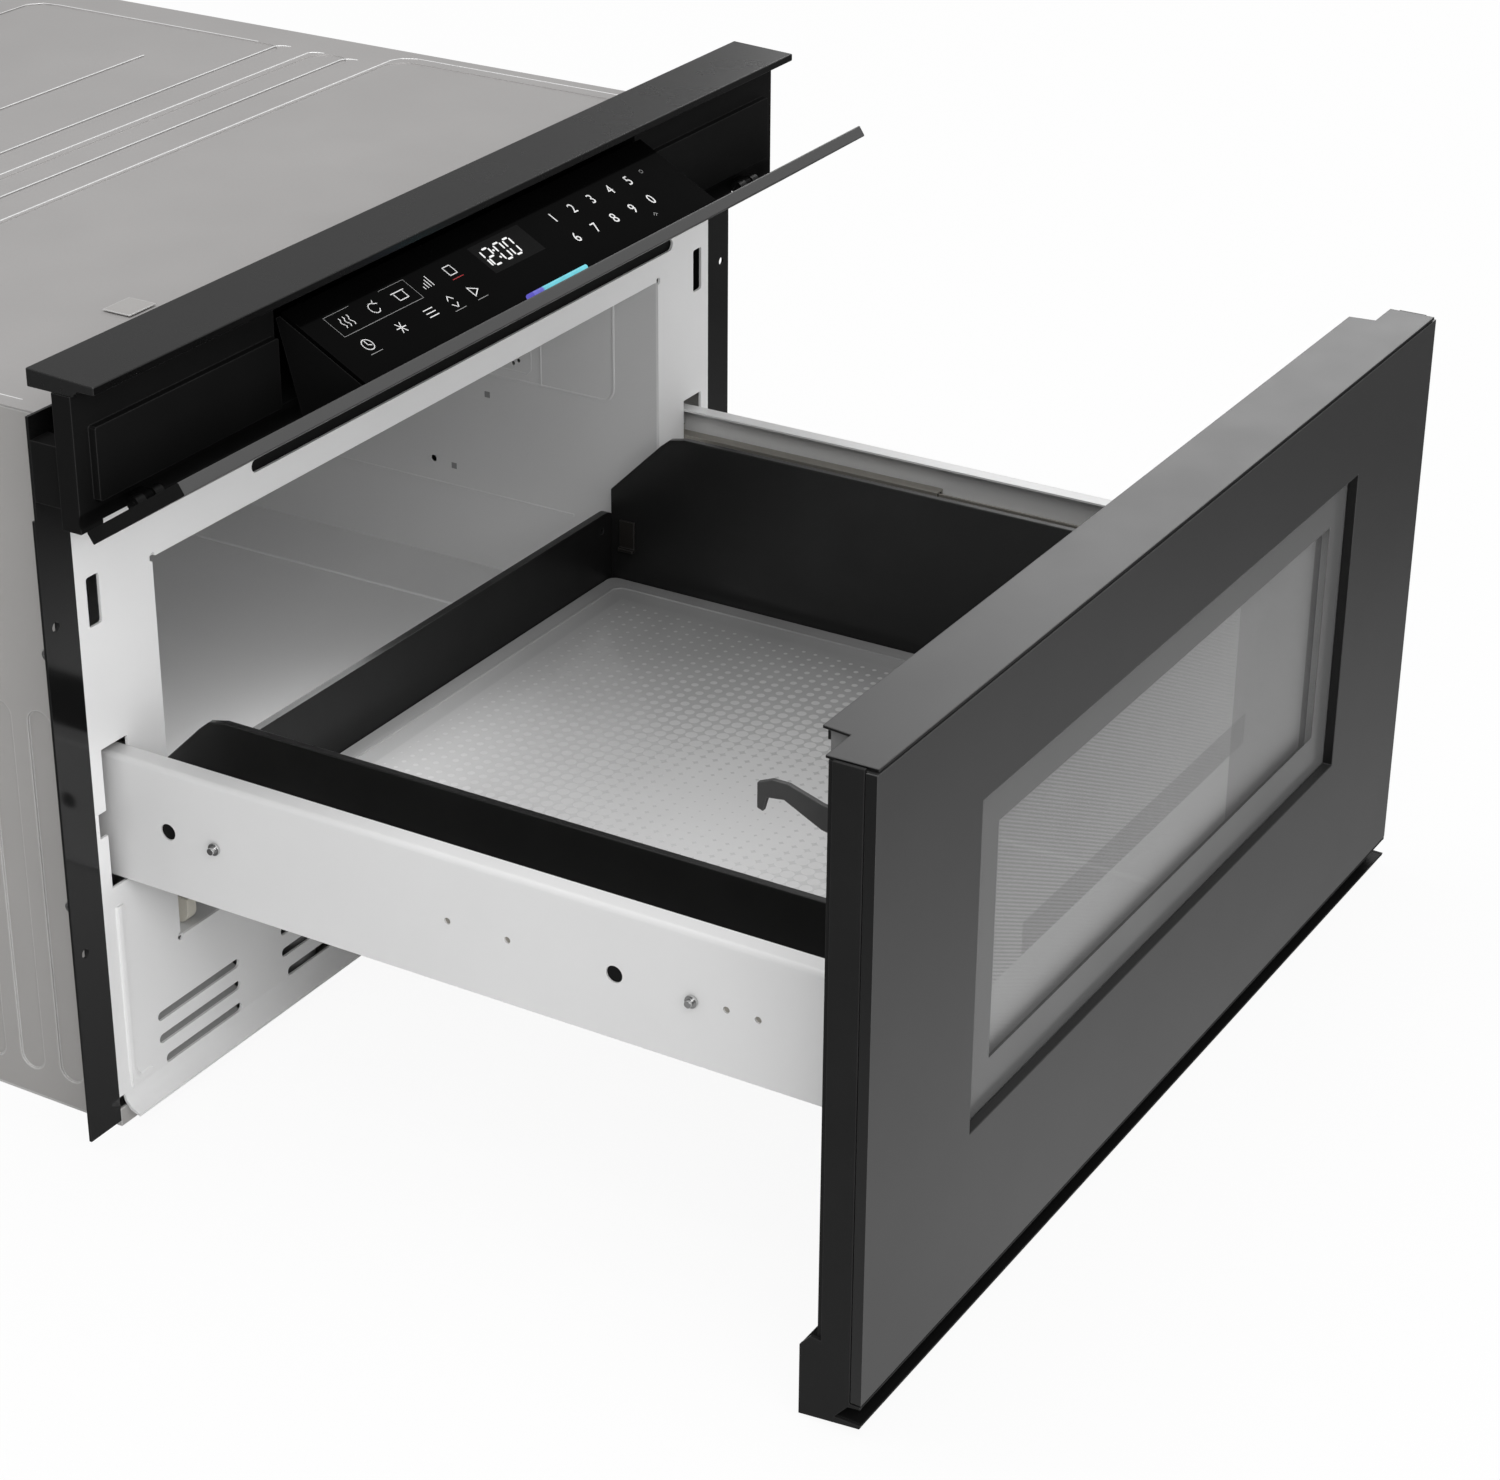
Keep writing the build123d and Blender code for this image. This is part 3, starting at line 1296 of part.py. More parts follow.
def cord_bushing():
    """Empty grommet in the rear panel where a supply lead would enter."""
    ring = rod_y(12.5, cabinet_depth, cabinet_depth + 3.0, bushing_x, bushing_z)
    ring += rod_y(bushing_radius, rear_inside - 6.0, cabinet_depth, bushing_x, bushing_z)
    return ring - rod_y(5.0, rear_inside - 7.0, cabinet_depth + 4.0, bushing_x, bushing_z)


NODES = {}


def place(name, solid):
    NODES[name] = Pos(0, -origin_y, -origin_z) * solid


def place_pair(name, solid):
    place(name + "_right", solid)
    place(name + "_left", mirror(solid, about=Plane.YZ))


def build_all():
    place("base_pan", base_pan())
    place_pair("side_panel", side_panel_right())
    place("top_panel", top_panel())
    place("rear_panel", rear_panel())
    place("front_frame", front_frame())
    place("mounting_flanges", both(mounting_flange_right()))
    place("cavity_roof", cavity_roof_panel())
    place("cavity_floor", cavity_floor_panel())
    place("cavity_walls", both(cavity_wall_right()))
    place("cavity_back", cavity_back_panel())
    place("visor", visor())
    place("control_housing", control_housing())
    place("flap_fascia", flap_turn(flap_fascia()))
    place("flap_hinge_pins", flap_turn(hinge_pins()))
    place("flap_wedge", flap_turn(flap_wedge()))
    place("control_glass", flap_turn(control_glass()))
    place("flap_light_bar", flap_turn(flap_light_bar()))
    place("door_outer_panel", door_outer_panel())
    place("door_window_glass", door_window_glass())
    place("door_window_frame", door_window_frame())
    place("door_core", door_core())
    place("door_inner_cover", door_inner_cover())
    place("door_top_cap", door_top_cap())
    place_pair("door_end_cap", door_end_cap_right())
    place("door_bottom_trim", door_bottom_trim())
    place_pair("drawer_side", drawer_side_right())
    place("drawer_back", drawer_back())
    place("glass_tray", glass_tray())
    place("tray_clips", tray_clips())
    place("drawer_glides", drawer_glides())
    place("slide_brackets", both(slide_bracket_right()))
    place("slide_cabinet_members", both(slide_fixed_right()))
    place_pair("slide_middle", slide_middle_right())
    place("slide_drawer_members", both(slide_drawer_right()))
    place_pair("rail_cover", rail_cover_right())
    place("rail_screws", rail_screws())
    place("drive_rack", drive_rack())
    place("drive_pinion", drive_pinion())
    place("drive_motor", drive_motor())
    place_pair("latch_hook", latch_hook_right())
    place("latch_boards", latch_boards())
    place("antenna_well", antenna_well())
    place("antenna_cover", antenna_cover())
    place("rotating_antenna", rotating_antenna())
    place("antenna_motor", antenna_motor())
    place("waveguide", waveguide())
    place("magnetron", magnetron())
    place("high_voltage_transformer", high_voltage_transformer())
    place("high_voltage_capacitor", high_voltage_capacitor())
    place("control_board", control_board())
    place("fan_housing", fan_housing())
    place("fan_wheel", fan_blades_wheel())
    place("cavity_lamp", cavity_lamp())
    place("cord_bushing", cord_bushing())


build_all()
os.makedirs("parts", exist_ok=True)
for name, solid in NODES.items():
    export_step(solid, os.path.join("parts", name + ".step"))
print(len(NODES), "pieces written")
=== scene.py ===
import math

import bmesh
import bpy
from mathutils import Matrix, Vector


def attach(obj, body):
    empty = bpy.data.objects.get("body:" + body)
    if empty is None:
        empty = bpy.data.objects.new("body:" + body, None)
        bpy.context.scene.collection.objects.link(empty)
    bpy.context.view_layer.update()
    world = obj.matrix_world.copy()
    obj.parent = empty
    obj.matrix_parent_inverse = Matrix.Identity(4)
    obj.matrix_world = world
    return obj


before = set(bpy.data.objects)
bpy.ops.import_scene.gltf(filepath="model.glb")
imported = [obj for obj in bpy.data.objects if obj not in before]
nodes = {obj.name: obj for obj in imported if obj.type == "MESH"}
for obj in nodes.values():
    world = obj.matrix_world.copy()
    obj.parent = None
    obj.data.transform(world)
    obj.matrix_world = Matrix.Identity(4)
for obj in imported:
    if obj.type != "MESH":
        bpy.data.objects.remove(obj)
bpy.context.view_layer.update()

# Built-in microwave drawer. Lengths in helper calls are millimetres in the frame the drawing uses:
# X to the right, Y into the cabinet from the face of the white front frame, Z up from the base.
MM = 0.001
# The shared frame's origin lies at this y and z of the drawing's frame.
SEAT_Y = 1.5
SEAT_Z = 193.9
DOOR_FACE = -433.0
CASE_SIDE, CASE_TOP, CASE_REAR = 279.9, 377.9, 549.0
CAVITY_SIDE = 225.3
LEFT, RIGHT, FRONT, BACK, UP = (-1, 0, 0), (1, 0, 0), (0, -1, 0), (0, 1, 0), (0, 0, 1)


def at(x, y, z):
    """World point in metres of a point of the drawing's frame."""
    return Vector((x, y - SEAT_Y, z - SEAT_Z)) * MM


def grey(level):
    """Linear colour of a grey given as it is seen, 0 to 255."""
    return tone(level, level, level)


def tone(red, green, blue):
    """Linear colour of a tone given as it is seen, 0 to 255 for each channel."""
    channels = []
    for value in (red, green, blue):
        v = value / 255
        channels.append(v / 12.92 if v <= 0.04045 else ((v + 0.055) / 1.055) ** 2.4)
    return (*channels, 1.0)


# ---------------------------------------------------------------- materials
def map_range(tree, value, low, high, to_low, to_high):
    """value carried linearly from low..high to to_low..to_high, and held at the ends."""
    node = tree.nodes.new("ShaderNodeMapRange")
    for name, number in (("From Min", low), ("From Max", high), ("To Min", to_low), ("To Max", to_high)):
        node.inputs[name].default_value = number
    tree.links.new(value, node.inputs["Value"])
    return node.outputs["Result"]


class Graph:
    """Short hand for building one material's nodes."""

    def __init__(self, name):
        self.material = bpy.data.materials.new(name)
        self.material.use_nodes = True
        self.tree = self.material.node_tree
        self.shader = self.tree.nodes["Principled BSDF"]

    def add(self, kind, **values):
        node = self.tree.nodes.new(kind)
        for key, value in values.items():
            setattr(node, key, value)
        return node

    def link(self, source, target):
        self.tree.links.new(source, target)

    def coordinates(self, stretch=(1, 1, 1)):
        coordinate = self.add("ShaderNodeTexCoord")
        mapping = self.add("ShaderNodeMapping")
        mapping.inputs["Scale"].default_value = stretch
        self.link(coordinate.outputs["Object"], mapping.inputs["Vector"])
        return mapping.outputs["Vector"]

    def noise(self, vector, scale, detail=3.0):
        node = self.add("ShaderNodeTexNoise")
        for name, value in (("Scale", scale), ("Detail", detail), ("Roughness", 0.55)):
            node.inputs[name].default_value = value
        self.link(vector, node.inputs["Vector"])
        return node.outputs["Fac"]

    def maths(self, operation, first, second=None, clamp=False):
        node = self.add("ShaderNodeMath", operation=operation, use_clamp=clamp)
        for index, value in enumerate((first, second)):
            if value is None:
                continue
            if isinstance(value, (int, float)):
                node.inputs[index].default_value = value
            else:
                self.link(value, node.inputs[index])
        return node.outputs[0]

    def remap(self, value, low, high, to_low, to_high):
        return map_range(self.tree, value, low, high, to_low, to_high)

    def length(self, first, second):
        """Root of the sum of two squares."""
        squares = [self.maths("POWER", value, 2.0) for value in (first, second)]
        return self.maths("SQRT", self.maths("ADD", *squares))

    def blend(self, factor, first, second):
        node = self.add("ShaderNodeMix", data_type="RGBA")
        for name, value in (("Factor", factor), ("A", first), ("B", second)):
            sockets = [s for s in node.inputs if s.name == name and s.enabled]
            socket = sockets[-1] if name != "Factor" else sockets[0]
            if isinstance(value, (tuple, list, int, float)):
                socket.default_value = value
            else:
                self.link(value, socket)
        return [s for s in node.outputs if s.enabled][0]

    def split(self, vector):
        node = self.add("ShaderNodeSeparateXYZ")
        self.link(vector, node.inputs[0])
        return node.outputs

    def bump(self, height, strength, distance):
        node = self.add("ShaderNodeBump")
        node.inputs["Strength"].default_value = strength
        node.inputs["Distance"].default_value = distance
        self.link(height, node.inputs["Height"])
        return node.outputs["Normal"]

    def edges(self, radius):
        """Mask that is 1 on outer edges, where light is painted, and 0 on flats."""
        bevel = self.add("ShaderNodeBevel", samples=4)
        bevel.inputs["Radius"].default_value = radius
        geometry = self.add("ShaderNodeNewGeometry")
        dot = self.add("ShaderNodeVectorMath", operation="DOT_PRODUCT")
        self.link(bevel.outputs["Normal"], dot.inputs[0])
        self.link(geometry.outputs["Normal"], dot.inputs[1])
        return self.remap(dot.outputs["Value"], 0.995, 0.88, 0.0, 1.0)

    def facing(self, direction):
        """Mask that is 1 on faces that look along a direction of the object."""
        dot = self.add("ShaderNodeVectorMath", operation="DOT_PRODUCT")
        self.link(self.add("ShaderNodeTexCoord").outputs["Normal"], dot.inputs[0])
        dot.inputs[1].default_value = direction
        return self.remap(dot.outputs["Value"], 0.9, 0.97, 0.0, 1.0)

    def near_axis(self, y, z, radius):
        """Mask that is 1 within a radius of a line along X, in millimetres of the drawing's frame."""
        shift = self.add("ShaderNodeVectorMath", operation="SUBTRACT")
        self.link(self.add("ShaderNodeTexCoord").outputs["Object"], shift.inputs[0])
        shift.inputs[1].default_value = at(0, y, z)
        axes = self.split(shift.outputs[0])
        return self.remap(self.length(axes[1], axes[2]), radius * MM, (radius + 0.4) * MM, 1.0, 0.0)

    def set(self, **values):
        for name, value in values.items():
            self.shader.inputs[name.replace("_", " ")].default_value = value


def finish(name, colour, rough, metal=0.0, spread=0.05, patch=30.0, grain=1400.0, bump=0.08,
           stretch=(1, 1, 1), edge_lighting=0.0, edge_lighting_colour=None, specular=0.5, rough_spread=0.08,
           mottle=0.0, edge_lighting_reach=0.7, faces=None, hub=None):
    """Paint, plastic or metal with uneven tone, uneven gloss, a fine grain and painted light on the outer
    edges, in the edge colour: a highlight where that colour is light, a dark line where it is dark.

    faces maps a direction of the object to the colour of the faces that look that way; hub is (y, z,
    radius, colour) of what lies round a line along X.
    """
    g = Graph(name)
    vector = g.coordinates(stretch)
    broad = g.noise(vector, patch, 2.0)
    fine = g.noise(vector, grain, 4.0)
    dark = tuple(c * (1 - spread) for c in colour[:3]) + (1.0,)
    light = tuple(min(1.0, c * (1 + spread)) for c in colour[:3]) + (1.0,)
    base = g.blend(g.remap(broad, 0.3, 0.7, 0.0, 1.0), dark, light)
    if mottle:
        grainy = tuple(c * (1 - mottle) for c in colour[:3]) + (1.0,)
        base = g.blend(g.remap(fine, 0.42, 0.62, 0.0, 1.0), base, grainy)
    # Painted edge light, stronger in patches: a highlight, and a dark edge line where the edge colour is
    # dark.
    if edge_lighting:
        lit_edge = g.maths("MULTIPLY", g.edges(edge_lighting_reach * MM), g.remap(broad, 0.2, 0.6, edge_lighting * 0.5, edge_lighting))
        base = g.blend(lit_edge, base, edge_lighting_colour or (0.5, 0.5, 0.5, 1.0))
    for direction, side_colour in (faces or {}).items():
        base = g.blend(g.facing(direction), base, side_colour)
    if hub:
        base = g.blend(g.near_axis(*hub[:3]), base, hub[3])
    g.link(base, g.shader.inputs["Base Color"])
    half = rough_spread / 2
    gloss = g.remap(g.noise(vector, patch * 2.3, 3.0), 0.3, 0.7, rough - half, rough + half)
    g.link(gloss, g.shader.inputs["Roughness"])
    g.link(g.bump(fine, bump, 0.00015), g.shader.inputs["Normal"])
    g.set(Metallic=metal, Specular_IOR_Level=specular)
    return g.material


FLAP_TURN = math.radians(56.65)
FLAP_EDGE = (0, -math.sin(FLAP_TURN), math.cos(FLAP_TURN))
FLAP_INSIDE = (0, math.cos(FLAP_TURN), math.sin(FLAP_TURN))
HINGE_HUB = (-33.6, 341.7, 6.6, grey(10))
# edge_lighting paints light on the outer edges: highlights on most parts, dark edge lines on the door's cap.
MATERIALS = {
    "galvanised": finish("zinc_sheet", tone(188, 186, 184), 0.45, 0.25, 0.03, 9.0, 2600.0, 0.10,
                         mottle=0.06, edge_lighting=1.0, edge_lighting_colour=grey(250), edge_lighting_reach=1.0),
    # Same zinc as the sides, a shade darker: painted shade on the top, and no painted edge light.
    "top_sheet": finish("zinc_top_sheet", tone(179, 177, 176), 0.45, 0.25, 0.03, 9.0, 2600.0, 0.10,
                        mottle=0.06),
    # Pale pressed lines: a painted highlight along the bead edges of the top sheet.
    "highlight": finish("pressed_line", grey(245), 0.35, 0.3, 0.02, 60.0, 2600.0, 0.05),
    "white": finish("white_enamel", grey(243), 0.38, 0.0, 0.015, 12.0, 1800.0, 0.03, edge_lighting=0.2,
                    edge_lighting_colour=grey(250)),
    "cavity": finish("cavity_enamel", grey(222), 0.42, 0.0, 0.015, 10.0, 1600.0, 0.04, edge_lighting=0.25,
                     edge_lighting_colour=grey(245), rough_spread=0.03),
    "flange": finish("black_flange_paint", grey(20), 0.12, 0.0, 0.10, 20.0, 1200.0, 0.02, edge_lighting=0.25,
                     edge_lighting_colour=grey(70), rough_spread=0.03),
    "visor": finish("charcoal_satin", grey(32), 0.28, 0.0, 0.05, 14.0, 2200.0, 0.05, edge_lighting=0.5,
                    edge_lighting_colour=grey(88), faces={FRONT: grey(12)}, rough_spread=0.04),
    "housing": finish("black_moulding", grey(23), 0.5, 0.0, 0.10, 18.0, 1500.0, 0.10, edge_lighting=0.6,
                      edge_lighting_colour=grey(76), specular=0.1, hub=HINGE_HUB),
    # The flap by face direction: faces along its edge lighter, a painted highlight; inward faces darker,
    # painted shade; its ends near black.
    "flap": finish("flap_grey", grey(66), 0.36, 0.0, 0.05, 16.0, 2200.0, 0.05, edge_lighting=0.45,
                   edge_lighting_colour=grey(110), rough_spread=0.04, hub=HINGE_HUB,
                   faces={LEFT: grey(14), RIGHT: grey(14), FLAP_EDGE: grey(78), FLAP_INSIDE: grey(36)}),
    "door": finish("door_grey", grey(49), 0.30, 0.0, 0.03, 6.0, 2400.0, 0.02, edge_lighting=0.5,
                   edge_lighting_colour=grey(120), rough_spread=0.03, faces={LEFT: grey(20), RIGHT: grey(20)}),
    "door_top": finish("door_cap_grey", grey(72), 0.34, 0.0, 0.04, 10.0, 2400.0, 0.04, edge_lighting=1.0,
                       edge_lighting_colour=grey(12), edge_lighting_reach=1.1, rough_spread=0.04,
                       faces={FRONT: grey(14), LEFT: grey(14)}),
    "end_cap": finish("end_cap_black", grey(33), 0.42, 0.0, 0.06, 20.0, 1600.0, 0.06, edge_lighting=0.35,
                      edge_lighting_colour=grey(78), specular=0.12),
    "foot": finish("foot_black", grey(22), 0.45, 0.0, 0.08, 20.0, 1600.0, 0.08, edge_lighting=0.35,
                   edge_lighting_colour=grey(72), specular=0.12),
    "door_steel": finish("pan_enamel", grey(120), 0.4, 0.1, 0.05, 15.0, 1500.0, 0.06, edge_lighting=0.2,
                         edge_lighting_colour=grey(170)),
    "drawer": finish("drawer_black", grey(26), 0.34, 0.0, 0.08, 16.0, 1500.0, 0.08, edge_lighting=0.5,
                     edge_lighting_colour=grey(100), specular=0.3),
    "slide": finish("slide_zinc", tone(172, 168, 160), 0.33, 0.6, 0.06, 40.0, 900.0, 0.10, (1, 0.04, 1),
                    0.3, grey(215)),
    "cover": finish("rail_cover_enamel", grey(224), 0.36, 0.0, 0.015, 10.0, 1800.0, 0.03, edge_lighting=0.15,
                    edge_lighting_colour=grey(245)),
    "screw": finish("bright_plating", grey(205), 0.18, 1.0, 0.05, 300.0, 3000.0, 0.05),
    "dark_screw": finish("dark_plating", grey(44), 0.3, 0.6, 0.05, 300.0, 3000.0, 0.05),
    "pin": finish("blacked_steel", grey(28), 0.3, 0.5, 0.06, 100.0, 2000.0, 0.08),
    "nylon": finish("natural_nylon", tone(222, 218, 206), 0.45, 0.0, 0.04, 60.0, 1500.0, 0.08),
    "motor": finish("motor_can", grey(118), 0.35, 0.7, 0.06, 40.0, 1600.0, 0.08),
    "aluminium": finish("mill_aluminium", grey(190), 0.32, 0.9, 0.05, 40.0, 1400.0, 0.08, (1, 1, 0.1)),
    "iron": finish("varnished_core", tone(84, 62, 48), 0.4, 0.3, 0.12, 60.0, 900.0, 0.2, (1, 1, 0.05)),
    "board": finish("board_resin", tone(42, 104, 62), 0.4, 0.0, 0.12, 120.0, 1500.0, 0.1),
    "fan": finish("fan_plastic", grey(30), 0.45, 0.0, 0.08, 40.0, 1300.0, 0.08),
    "hook": finish("hook_plating", grey(74), 0.4, 0.3, 0.08, 60.0, 1500.0, 0.1, edge_lighting=0.5,
                   edge_lighting_colour=grey(150)),
    "rubber": finish("grommet_rubber", grey(26), 0.7, 0.0, 0.1, 60.0, 900.0, 0.15),
    "cover_board": finish("microwave_clear_board", grey(214), 0.5, 0.0, 0.03, 50.0, 900.0, 0.08),
    "dark_plastic": finish("dark_moulding", grey(28), 0.42, 0.0, 0.08, 30.0, 1400.0, 0.1, edge_lighting=0.3,
                           edge_lighting_colour=grey(84), specular=0.2),
    "clip": finish("clip_moulding", tone(30, 28, 26), 0.4, 0.0, 0.08, 30.0, 1400.0, 0.1, edge_lighting=0.4,
                   edge_lighting_colour=grey(110), specular=0.3),
    "border": finish("border_grey", grey(94), 0.22, 0.0, 0.02, 9.0, 2400.0, 0.01),
    "window_ring": finish("ring_grey", grey(215), 0.4, 0.0, 0.02, 9.0, 2400.0, 0.02),
    "plug": finish("hole_plug_grey", grey(150), 0.5, 0.0, 0.04, 30.0, 1600.0, 0.04),
    "scoop": finish("louvre_grey", grey(176), 0.45, 0.0, 0.04, 30.0, 1600.0, 0.04),
}


def glossy_glass(name, colour, rough, alpha=1.0, specular=0.5):
    """Dark glass with faint smears in its gloss."""
    g = Graph(name)
    vector = g.coordinates()
    smear = g.noise(vector, 22.0, 4.0)
    g.link(g.remap(smear, 0.35, 0.7, rough, rough + 0.05), g.shader.inputs["Roughness"])
    tint = tuple(c * 1.25 for c in colour[:3]) + (1.0,)
    g.link(g.blend(g.remap(smear, 0.3, 0.7, 0.0, 1.0), colour, tint), g.shader.inputs["Base Color"])
    g.link(g.bump(g.noise(vector, 60.0, 2.0), 0.01, 0.0002), g.shader.inputs["Normal"])
    g.set(Alpha=alpha, Specular_IOR_Level=specular)
    return g.material


MATERIALS["control_glass"] = glossy_glass("control_glass_black", grey(5), 0.06, specular=0.04)
MATERIALS["window"] = glossy_glass("window_tint", grey(110), 0.05, alpha=0.2)


def glow(name, colour, strength):
    """Lit mark with a faintly uneven strength."""
    g = Graph(name)
    vector = g.coordinates()
    level = g.remap(g.noise(vector, 500.0, 2.0), 0.3, 0.7, strength * 0.92, strength)
    g.link(level, g.shader.inputs["Emission Strength"])
    g.set(Base_Color=(0.02, 0.02, 0.02, 1.0), Roughness=0.3, Emission_Color=colour)
    return g.material


for look, ink_name, ink in (("print", "printed_white", grey(228)), ("print_dim", "printed_grey", grey(150)),
                            ("print_red", "printed_red", tone(150, 22, 30))):
    MATERIALS[look] = finish(ink_name, ink, 0.5, 0.0, 0.05, 300.0, 3000.0, 0.02)
MATERIALS["digits"] = glow("display_digits", (1.0, 1.0, 1.0, 1.0), 1.0)


def light_bar_material():
    """Translucent bar lit violet at its left end and cyan along the rest."""
    g = Graph("light_bar_glow")
    vector = g.coordinates()
    x = g.split(vector)[0]
    far = g.remap(x, -0.0165, -0.0145, 0.0, 1.0)
    body = g.blend(far, tone(104, 92, 214), tone(112, 226, 238))
    wave = g.remap(g.noise(vector, 220.0, 2.0), 0.3, 0.7, 0.75, 1.0)
    g.link(body, g.shader.inputs["Emission Color"])
    g.link(g.maths("MULTIPLY", wave, 0.85), g.shader.inputs["Emission Strength"])
    g.set(Base_Color=(0.05, 0.07, 0.1, 1.0), Roughness=0.2)
    return g.material


MATERIALS["light_bar"] = light_bar_material()


TRAY_FRONT, TRAY_REAR = -394.0, 23.5
TRAY_MIDDLE = (TRAY_FRONT + TRAY_REAR) / 2 - SEAT_Y
DOT_PITCH, DOT_PHASE = 0.00762, (0.58, 0.91)
# In metres from the tray's middle: where the dots end, and the sloping band inside the rim.
DOT_END = (0.182, 0.185)
RIM_SLOPE = (0.188, 0.1975)
# The dots' radius, in pitches, falls from the first value to the second over this distance.
DOT_RADIUS, DOT_FADE = (0.64, 0.14), (0.02, 0.19)
# Painted shade: the tray darkens from left to right, along x plus this much of y.
TRAY_SHADE, TRAY_SHADE_LEAN = (-0.14, 0.24), -0.35


def between(g, value, low, high, soft=0.0004):
    """Mask that is 1 between two limits of a coordinate in metres."""
    return g.maths("MULTIPLY", g.remap(value, low, low + soft, 0.0, 1.0),
                   g.remap(value, high - soft, high, 1.0, 0.0))


def tray_material():
    """Pressed glass with pale dots on a square grid, which grow and nearly merge towards the middle, under
    painted shade that darkens it from left to right.
    """
    g = Graph("tray_dots")
    vector = g.coordinates()
    x, y, _ = g.split(vector)

    def off_dot(value, phase):
        cell = g.maths("FRACT", g.maths("ADD", g.maths("DIVIDE", value, DOT_PITCH), phase))
        return g.maths("SUBTRACT", cell, 0.5)

    distance = g.length(*map(off_dot, (x, y), DOT_PHASE))
    off_middle = g.maths("ABSOLUTE", g.maths("SUBTRACT", y, TRAY_MIDDLE * MM))
    reach = g.maths("MAXIMUM", g.maths("ABSOLUTE", x), off_middle)
    radius = g.remap(g.length(x, off_middle), *DOT_FADE, *DOT_RADIUS)
    mask = g.remap(g.maths("SUBTRACT", radius, distance), -0.04, 0.04, 0.0, 1.0)
    mask = g.maths("MULTIPLY", mask, g.remap(reach, *DOT_END, 1.0, 0.0))
    # Painted shade across the tray, uneven in patches.
    shade_jitter = g.remap(g.noise(vector, 9.0, 3.0), 0.3, 0.7, -0.04, 0.04)
    across = g.maths("ADD", x, g.maths("MULTIPLY", y, TRAY_SHADE_LEAN))
    painted_shade_ramp = g.remap(across, *TRAY_SHADE, 0.0, 1.0)
    shade = g.maths("ADD", painted_shade_ramp, shade_jitter, clamp=True)
    field = g.blend(shade, grey(255), grey(136))
    dots = g.blend(shade, grey(255), grey(168))
    slope = between(g, reach, *RIM_SLOPE, 0.001)
    field = g.blend(g.maths("MULTIPLY", slope, 0.12), field, grey(110))
    g.link(g.blend(mask, field, dots), g.shader.inputs["Base Color"])
    g.link(g.remap(mask, 0.0, 1.0, 0.14, 0.42), g.shader.inputs["Roughness"])
    g.link(g.bump(mask, 0.2, 0.0003), g.shader.inputs["Normal"])
    g.set(Specular_IOR_Level=0.4)
    return g.material


# The pierced field of the door's pan, in metres.
SCREEN_X, SCREEN_Z = (-0.188, 0.19), (-0.0750, 0.0571)
# What shows on the screen was drawn for the glass in front of it, so it is shifted by this much.
SCREEN_SHIFT = (0.0201, -0.0113)
# Rows of holes: their pitch and slant, where they fade to the right, and the height they are faint below.
ROW_PITCH, ROW_LEAN = 0.0020, 0.509
ROW_FADE_X, ROW_FAINT_Z = (-0.10, 0.085), (-0.0272, -0.0266)
# The drawer painted on the screen in light and shade as seen through it: its back, its right side, and the
# slanting edge of its tray.
SEEN_BACK_X, SEEN_BACK_Z = (-0.157, 0.092), (-0.0268, -0.0093)
SEEN_SIDE_X = (0.0745, 0.20)
SEEN_EDGE, SEEN_EDGE_LEAN = (-0.0674, -0.0646), 0.61


def screen_material():
    """Enamelled pan with slanting rows of fine holes on its screen, and the drawer behind painted on it in
    light and shade, as it looks dimly through the holes.
    """
    g = Graph("pierced_screen")
    vector = g.coordinates()
    x, _, z = g.split(vector)
    area = g.maths("MULTIPLY", between(g, x, *SCREEN_X), between(g, z, *SCREEN_Z))
    x, z = (g.maths("SUBTRACT", value, shift) for value, shift in zip((x, z), SCREEN_SHIFT))
    row = g.maths("DIVIDE", g.maths("ADD", z, g.maths("MULTIPLY", x, ROW_LEAN)), ROW_PITCH)
    off_row = g.maths("ABSOLUTE", g.maths("SUBTRACT", g.maths("FRACT", row), 0.5))
    hole = g.remap(off_row, 0.1, 0.4, 1.0, 0.0)
    seen = g.maths("MULTIPLY", g.remap(x, *ROW_FADE_X, 1.0, 0.12), g.remap(z, *ROW_FAINT_Z, 0.15, 1.0))
    hole = g.maths("MULTIPLY", g.maths("MULTIPLY", hole, area), seen)
    back_wall = g.maths("MULTIPLY", between(g, z, *SEEN_BACK_Z), between(g, x, *SEEN_BACK_X))
    side_wall = between(g, x, *SEEN_SIDE_X)
    lean = g.maths("ADD", z, g.maths("MULTIPLY", x, SEEN_EDGE_LEAN))
    tray_edge = between(g, lean, *SEEN_EDGE)
    # Painted view through the holes: lighter towards the bottom, then the drawer's side, back and tray edge
    # in painted shade and light.
    pale = g.blend(g.remap(z, -0.06, 0.055, 0.0, 1.0), grey(208), grey(186))
    pale = g.blend(g.maths("MULTIPLY", side_wall, 0.5), pale, grey(138))
    pale = g.blend(g.maths("MULTIPLY", back_wall, 0.45), pale, grey(140))
    pale = g.blend(g.maths("MULTIPLY", tray_edge, 0.2), pale, grey(230))
    plain = g.blend(area, grey(120), pale)
    g.link(g.blend(g.maths("MULTIPLY", hole, 0.42), plain, grey(110)), g.shader.inputs["Base Color"])
    g.link(g.remap(g.noise(vector, 60.0, 3.0), 0.3, 0.7, 0.38, 0.5), g.shader.inputs["Roughness"])
    g.link(g.bump(hole, -0.3, 0.0003), g.shader.inputs["Normal"])
    return g.material


MATERIALS["tray"] = tray_material()
MATERIALS["screen"] = screen_material()

